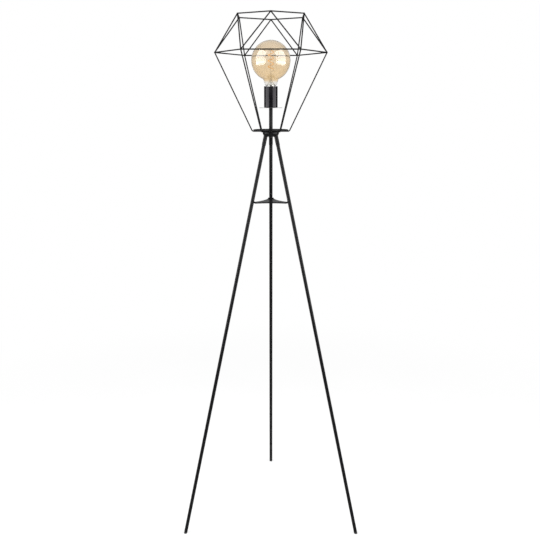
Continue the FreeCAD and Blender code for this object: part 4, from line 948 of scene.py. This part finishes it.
def glass_outline(inset):
    """The glass from its seam in the cap up to the crown, as radii and heights: an upright seam, a
    small shoulder arc, the straight tapering neck, a fillet and the globe's own arc. The fillet's
    centre is where a line beside the neck crosses a circle round the globe."""
    along = np.array([math.sin(NECK_TAPER), math.cos(NECK_TAPER)])
    outward = np.array([math.cos(NECK_TAPER), -math.sin(NECK_TAPER)])
    shoulder = np.array([NECK_SHOULDER_RADIUS - SHOULDER_ARC, CAP_HIGH.z + SHOULDER_ARC])
    foot = shoulder + outward * (SHOULDER_ARC + NECK_FILLET) - [0, GLOBE_CENTRE]
    half_b = foot @ along
    rest = foot @ foot - (GLOBE_RADIUS + NECK_FILLET) ** 2
    fillet = foot + along * (-half_b - math.sqrt(half_b ** 2 - rest)) + [0, GLOBE_CENTRE]
    turn = math.degrees(NECK_TAPER)
    globe_turn = math.degrees(math.atan2(fillet[1] - GLOBE_CENTRE, fillet[0]))
    seam = CAP_RADIUS - CAP_WALL - GLASS_CLEARANCE - inset
    return np.concatenate([[[seam, GLOBE_LOW.z], [seam, CAP_HIGH.z + inset]],
                           arc(*shoulder, SHOULDER_ARC - inset, -90, -turn, 12),
                           arc(*fillet, NECK_FILLET + inset, 180 - turn, 180 + globe_turn, 10),
                           arc(0, GLOBE_CENTRE, GLOBE_RADIUS - inset, globe_turn, 90, 72)])


def smooth_step(add, value, low, high, start=0.0, end=1.0):
    """A value that runs smoothly from start to end while another runs from low to high."""
    limits = {"Value": value, "From Min": low, "From Max": high, "To Min": start, "To Max": end}
    return add("ShaderNodeMapRange", limits, interpolation_type="SMOOTHSTEP").outputs["Result"]


def amber_glass():
    """Amber lustred glass: clear, with a warm tint whose change with height is painted light: paler over
    the crown as a painted reflection, deeper down to the neck as painted shade, to where the lustre
    thins out to bare glass, and a faint waviness left by the blowing. Its high index stands for the lustre's
    own shine."""
    material, shader, add, wire = new_finish("amber_glass")
    place = add("ShaderNodeTexCoord", {})
    height = add("ShaderNodeSeparateXYZ", {"Vector": place.outputs["Object"]}).outputs["Z"]
    # Painted reflection and shade: the tint runs by height alone, from deeper amber low down to paler amber
    # over the top.
    upper = smooth_step(add, height, PAINTED_SHADE_DEEPEST_BELOW, PAINTED_REFLECTION_PALEST_ABOVE)
    amber = two_tones(add, upper, (0.905, 0.770, 0.565), (0.925, 0.830, 0.695))
    lustred = smooth_step(add, height, BARE_BELOW, LUSTRED_ABOVE)
    tone = two_tones(add, lustred, (0.95, 0.945, 0.93), amber)
    wire(shader, {"Base Color": tone, "Roughness": 0.0, "IOR": 1.8, "Transmission Weight": 1.0,
                  "Specular IOR Level": 1.0, "Normal": grain_bump(add, 22.0, 0.000004, 0.0)})
    return material


glass = outline_of(glass_outline(0.0), glass_outline(GLASS_WALL)[::-1])
made_piece("bulb_glass_blown", [turned(glass, GLOBE_SIDES)], "bulb", amber_glass(),
           ["bulb_glass"])

# Filament
# One soft tube of silicone over a flexible strip of light emitters, wound as a wide open spiral.
# It is moulded with plain ends that are crimped to its two wires.

FILAMENT_RADIUS = 0.0012
FILAMENT_COIL_RADIUS = 0.00855
FILAMENT_PITCH = 0.017
FILAMENT_TURNS = 13 / 4
FILAMENT_BOTTOM = 0.0265
FILAMENT_GLOW = 0.42


def soft_filament():
    """Orange silicone that lets a little light through and glows faintly from the strip inside: its
    tone comes and goes with the emitters under it."""
    material, shader, add, wire = new_finish("filament_silicone")
    tone = two_tones(add, speckled(add, 620.0, 0.0, 1.0, 1.0), (0.90, 0.48, 0.13), (0.98, 0.66, 0.27))
    wire(shader, {"Base Color": tone, "Roughness": speckled(add, 900.0, 0.34, 0.5), "Emission Color": tone,
                  "Emission Strength": FILAMENT_GLOW})
    return material


# The coil's centre line winds clockwise as it rises, at an even pitch.
coil_turn = np.linspace(0, 360.0 * FILAMENT_TURNS, 240)
coil_rise = GLOBE_CENTRE - FILAMENT_BOTTOM + FILAMENT_PITCH * coil_turn / 360.0
coil_grid = round_tube(polar(FILAMENT_COIL_RADIUS, -coil_turn, coil_rise), FILAMENT_RADIUS, 20)
made_piece("bulb_filament_coil", [coil_grid], "bulb", soft_filament(), ["bulb_filament"])

# Wires, mount and driver in the bulb
# Two nickel wires carry the filament and run down through a pressed clear glass mount, which is
# sealed into the neck, to a small round driver board in the cap.

# Drawn nickel wire with a fine grain.
NICKEL_WIRE = mottled_finish("nickel_wire", 900.0, (0.42, 0.40, 0.37), (0.55, 0.53, 0.50),
                             1500.0, (0.22, 0.4), others=METAL)
# White solder resist on a printed board, with darker patches where parts stand.
DRIVER_BOARD = mottled_finish("driver_board", 500.0, (0.62, 0.63, 0.60), (0.40, 0.42, 0.38),
                              300.0, (0.35, 0.5), patch_detail=0.0)


def clear_glass():
    """Clear soda glass with a faint grey-green cast and small waves."""
    material, shader, add, wire = new_finish("clear_glass")
    tone = two_tones(add, speckled(add, 60.0, 0.0, 1.0), (0.93, 0.94, 0.92), (0.97, 0.97, 0.96))
    wire(shader, {"Base Color": tone, "Roughness": 0.02, "IOR": 1.5, "Transmission Weight": 1.0,
                  "Normal": grain_bump(add, 180.0, 0.00008)})
    return material


dressed(["bulb_leads", "tip_lead"], NICKEL_WIRE)
dressed(["bulb_mount"], clear_glass())
dressed(["bulb_driver"], DRIVER_BOARD)

# Floor
# A pale floor that runs out to the white of the backdrop, so that only a faint shadow near the
# lamp tells the two apart.

FLOOR_RADIUS = 6.0
FLOOR_SIDES = 64
FLOOR_IN_GLOSS = 0.5
SHADOW_RADIUS = 0.5
PLAIN_RADIUS = 2.2
PLAIN_SHARE_NEAR_LAMP = 0.72
WHITE = (1, 1, 1, 1)


def maths(add, operation, *values):
    """One step of arithmetic on values or sockets."""
    return add("ShaderNodeMath", dict(enumerate(values)), operation=operation).outputs[0]


def seen_directly(add):
    """1 for a ray that shows the backdrop: from the camera, or by way of metal or glass."""
    ray = add("ShaderNodeLightPath", {}).outputs
    mirrored = maths(add, "MAXIMUM", ray["Is Camera Ray"], ray["Is Glossy Ray"])
    return maths(add, "MAXIMUM", mirrored, ray["Is Transmission Ray"])


def floor_finish():
    """Pale matt floor that keeps a faint shadow near the lamp and runs out to plain white."""
    material, shader, add, wire = new_finish("pale_floor")
    tone = two_tones(add, speckled(add, 3.0, 0.0, 1.0), (0.86, 0.86, 0.86), (0.90, 0.90, 0.90))
    wire(shader, {"Base Color": tone, "Roughness": 0.9, "Specular IOR Level": 0.0})
    place = add("ShaderNodeTexCoord", {})
    length = add("ShaderNodeVectorMath", {0: place.outputs["Object"]}, operation="LENGTH").outputs["Value"]
    plain = smooth_step(add, length, SHADOW_RADIUS, PLAIN_RADIUS, PLAIN_SHARE_NEAR_LAMP, 1.0)
    glossy = add("ShaderNodeLightPath", {}).outputs["Is Glossy Ray"]
    glow = add("ShaderNodeMapRange", {"Value": glossy, "To Min": 1.0, "To Max": FLOOR_IN_GLOSS})
    white = add("ShaderNodeEmission", {"Color": WHITE, "Strength": glow.outputs["Result"]})
    mixed = add("ShaderNodeMixShader", {"Fac": maths(add, "MULTIPLY", plain, seen_directly(add)),
                                        1: shader.outputs["BSDF"], 2: white.outputs["Emission"]})
    wire(material.node_tree.nodes["Material Output"], {"Surface": mixed.outputs[0]})
    return material


floor_mesh = bpy.data.meshes.new("floor")
floor_rim = polar(FLOOR_RADIUS, np.linspace(0, 360, FLOOR_SIDES, endpoint=False), 0.0) - AXIS
floor_mesh.from_pydata(floor_rim.tolist(), [], [list(range(FLOOR_SIDES))])
floor_mesh.materials.append(floor_finish())
floor = bpy.data.objects.new("floor", floor_mesh)
bpy.context.scene.collection.objects.link(floor)

# Backdrop and lamps
# A white backdrop, and two tall soft panels to the left and right of the camera. Black metal and
# glass mirror a dim studio with a few white boards in it.

ROOM_LIGHT = 0.32
GLOSS_ROOM = 0.06
# Each board: its turn from straight ahead and its rise, in degrees, and its strength.
GLOSS_BOARDS = [((31, 98), (-28, -5), 2.6), ((-10, 31), (8, 50), 1.0), ((-10, 31), (-28, -8), 1.0),
                ((150, 190), (-10, 60), 0.34)]
BOARD_SIDE_SOFTNESS = 3
BOARD_EDGE_SOFTNESS = 2
PANEL_TURN = math.radians(64.5)
PANEL_DISTANCE = 2.2
PANEL_WIDTH = 2.9
PANEL_HEIGHT = 3.4
PANEL_MIDDLE = 2.31
PANEL_RADIANCE = 4.4


def band(add, value, bounds, softness):
    """1 where a value lies between two bounds and 0 outside them, with soft edges. The bounds and
    the softness are in degrees, the value is in radians."""
    soft = math.radians(softness)
    low, high = [math.radians(bound) for bound in bounds]
    past_low = smooth_step(add, value, low - soft, low + soft)
    before_high = smooth_step(add, value, high - soft, high + soft, 1.0, 0.0)
    return maths(add, "MULTIPLY", past_low, before_high)


def studio_in_gloss(add):
    """What a glossy surface sees of the studio, by the turn from straight ahead and by the height of
    a direction: dim all round, a low white board beside each panel, one above and one below the
    camera, and the backdrop itself behind the lamp."""
    direction = add("ShaderNodeTexCoord", {})
    x, y, z = add("ShaderNodeSeparateXYZ", {"Vector": direction.outputs["Generated"]}).outputs
    turn = maths(add, "ABSOLUTE", maths(add, "ARCTAN2", x, maths(add, "MULTIPLY", y, -1.0)))
    rise = maths(add, "ARCSINE", z)
    total = GLOSS_ROOM
    for turns, rises, light in GLOSS_BOARDS:
        across = band(add, turn, turns, BOARD_SIDE_SOFTNESS)
        upright = band(add, rise, rises, BOARD_EDGE_SOFTNESS)
        board = maths(add, "MULTIPLY", maths(add, "MULTIPLY", across, upright), light)
        total = maths(add, "ADD", board, total)
    return total


world = bpy.data.worlds.new("backdrop")
bpy.context.scene.world = world
world.use_nodes = True
add, wire = node_tools(world.node_tree)
plain = world.node_tree.nodes["Background"]
wire(plain, {"Color": WHITE, "Strength": ROOM_LIGHT})
ray = add("ShaderNodeLightPath", {}).outputs
clear = maths(add, "MAXIMUM", ray["Is Camera Ray"], ray["Is Transmission Ray"])
mirrored = maths(add, "MULTIPLY", studio_in_gloss(add), maths(add, "SUBTRACT", 1.0, clear))
seen = add("ShaderNodeBackground", {"Color": WHITE, "Strength": maths(add, "ADD", clear, mirrored)})
mixed = add("ShaderNodeMixShader", {"Fac": seen_directly(add), 1: plain.outputs[0], 2: seen.outputs[0]})
wire(world.node_tree.nodes["World Output"], {"Surface": mixed.outputs[0]})

for side in (-1, 1):
    panel = bpy.data.lights.new("soft_panel", "AREA")
    panel.shape = "RECTANGLE"
    panel.size = PANEL_WIDTH
    panel.size_y = PANEL_HEIGHT
    panel.energy = PANEL_RADIANCE * math.pi * PANEL_WIDTH * PANEL_HEIGHT
    holder = bpy.data.objects.new("soft_panel", panel)
    holder.location = (side * PANEL_DISTANCE * math.sin(PANEL_TURN),
                       AXIS[1] - PANEL_DISTANCE * math.cos(PANEL_TURN), PANEL_MIDDLE)
    holder.rotation_euler = (math.pi / 2, 0.0, side * PANEL_TURN)
    holder.visible_camera = False
    holder.visible_transmission = False
    bpy.context.scene.collection.objects.link(holder)

# Camera
# It stands a little over two metres in front of the lamp, at the height of the lampholder, and
# looks slightly down.

CAMERA_PLACE = (0.00509, AXIS[1] - 2.2691, 1.3978)
CAMERA_DOWN = 0.2332
CAMERA_TURN = 0.0034
CAMERA_LENS = 47.63

camera = bpy.data.cameras.new("camera")
camera.sensor_width = 36.0
camera.lens = CAMERA_LENS
camera.clip_end = 100.0
viewer = bpy.data.objects.new("camera", camera)
viewer.location = CAMERA_PLACE
viewer.rotation_euler = (math.pi / 2 - CAMERA_DOWN, 0.0, CAMERA_TURN)
bpy.context.scene.collection.objects.link(viewer)
bpy.context.scene.camera = viewer
bpy.context.scene.view_settings.view_transform = "Standard"
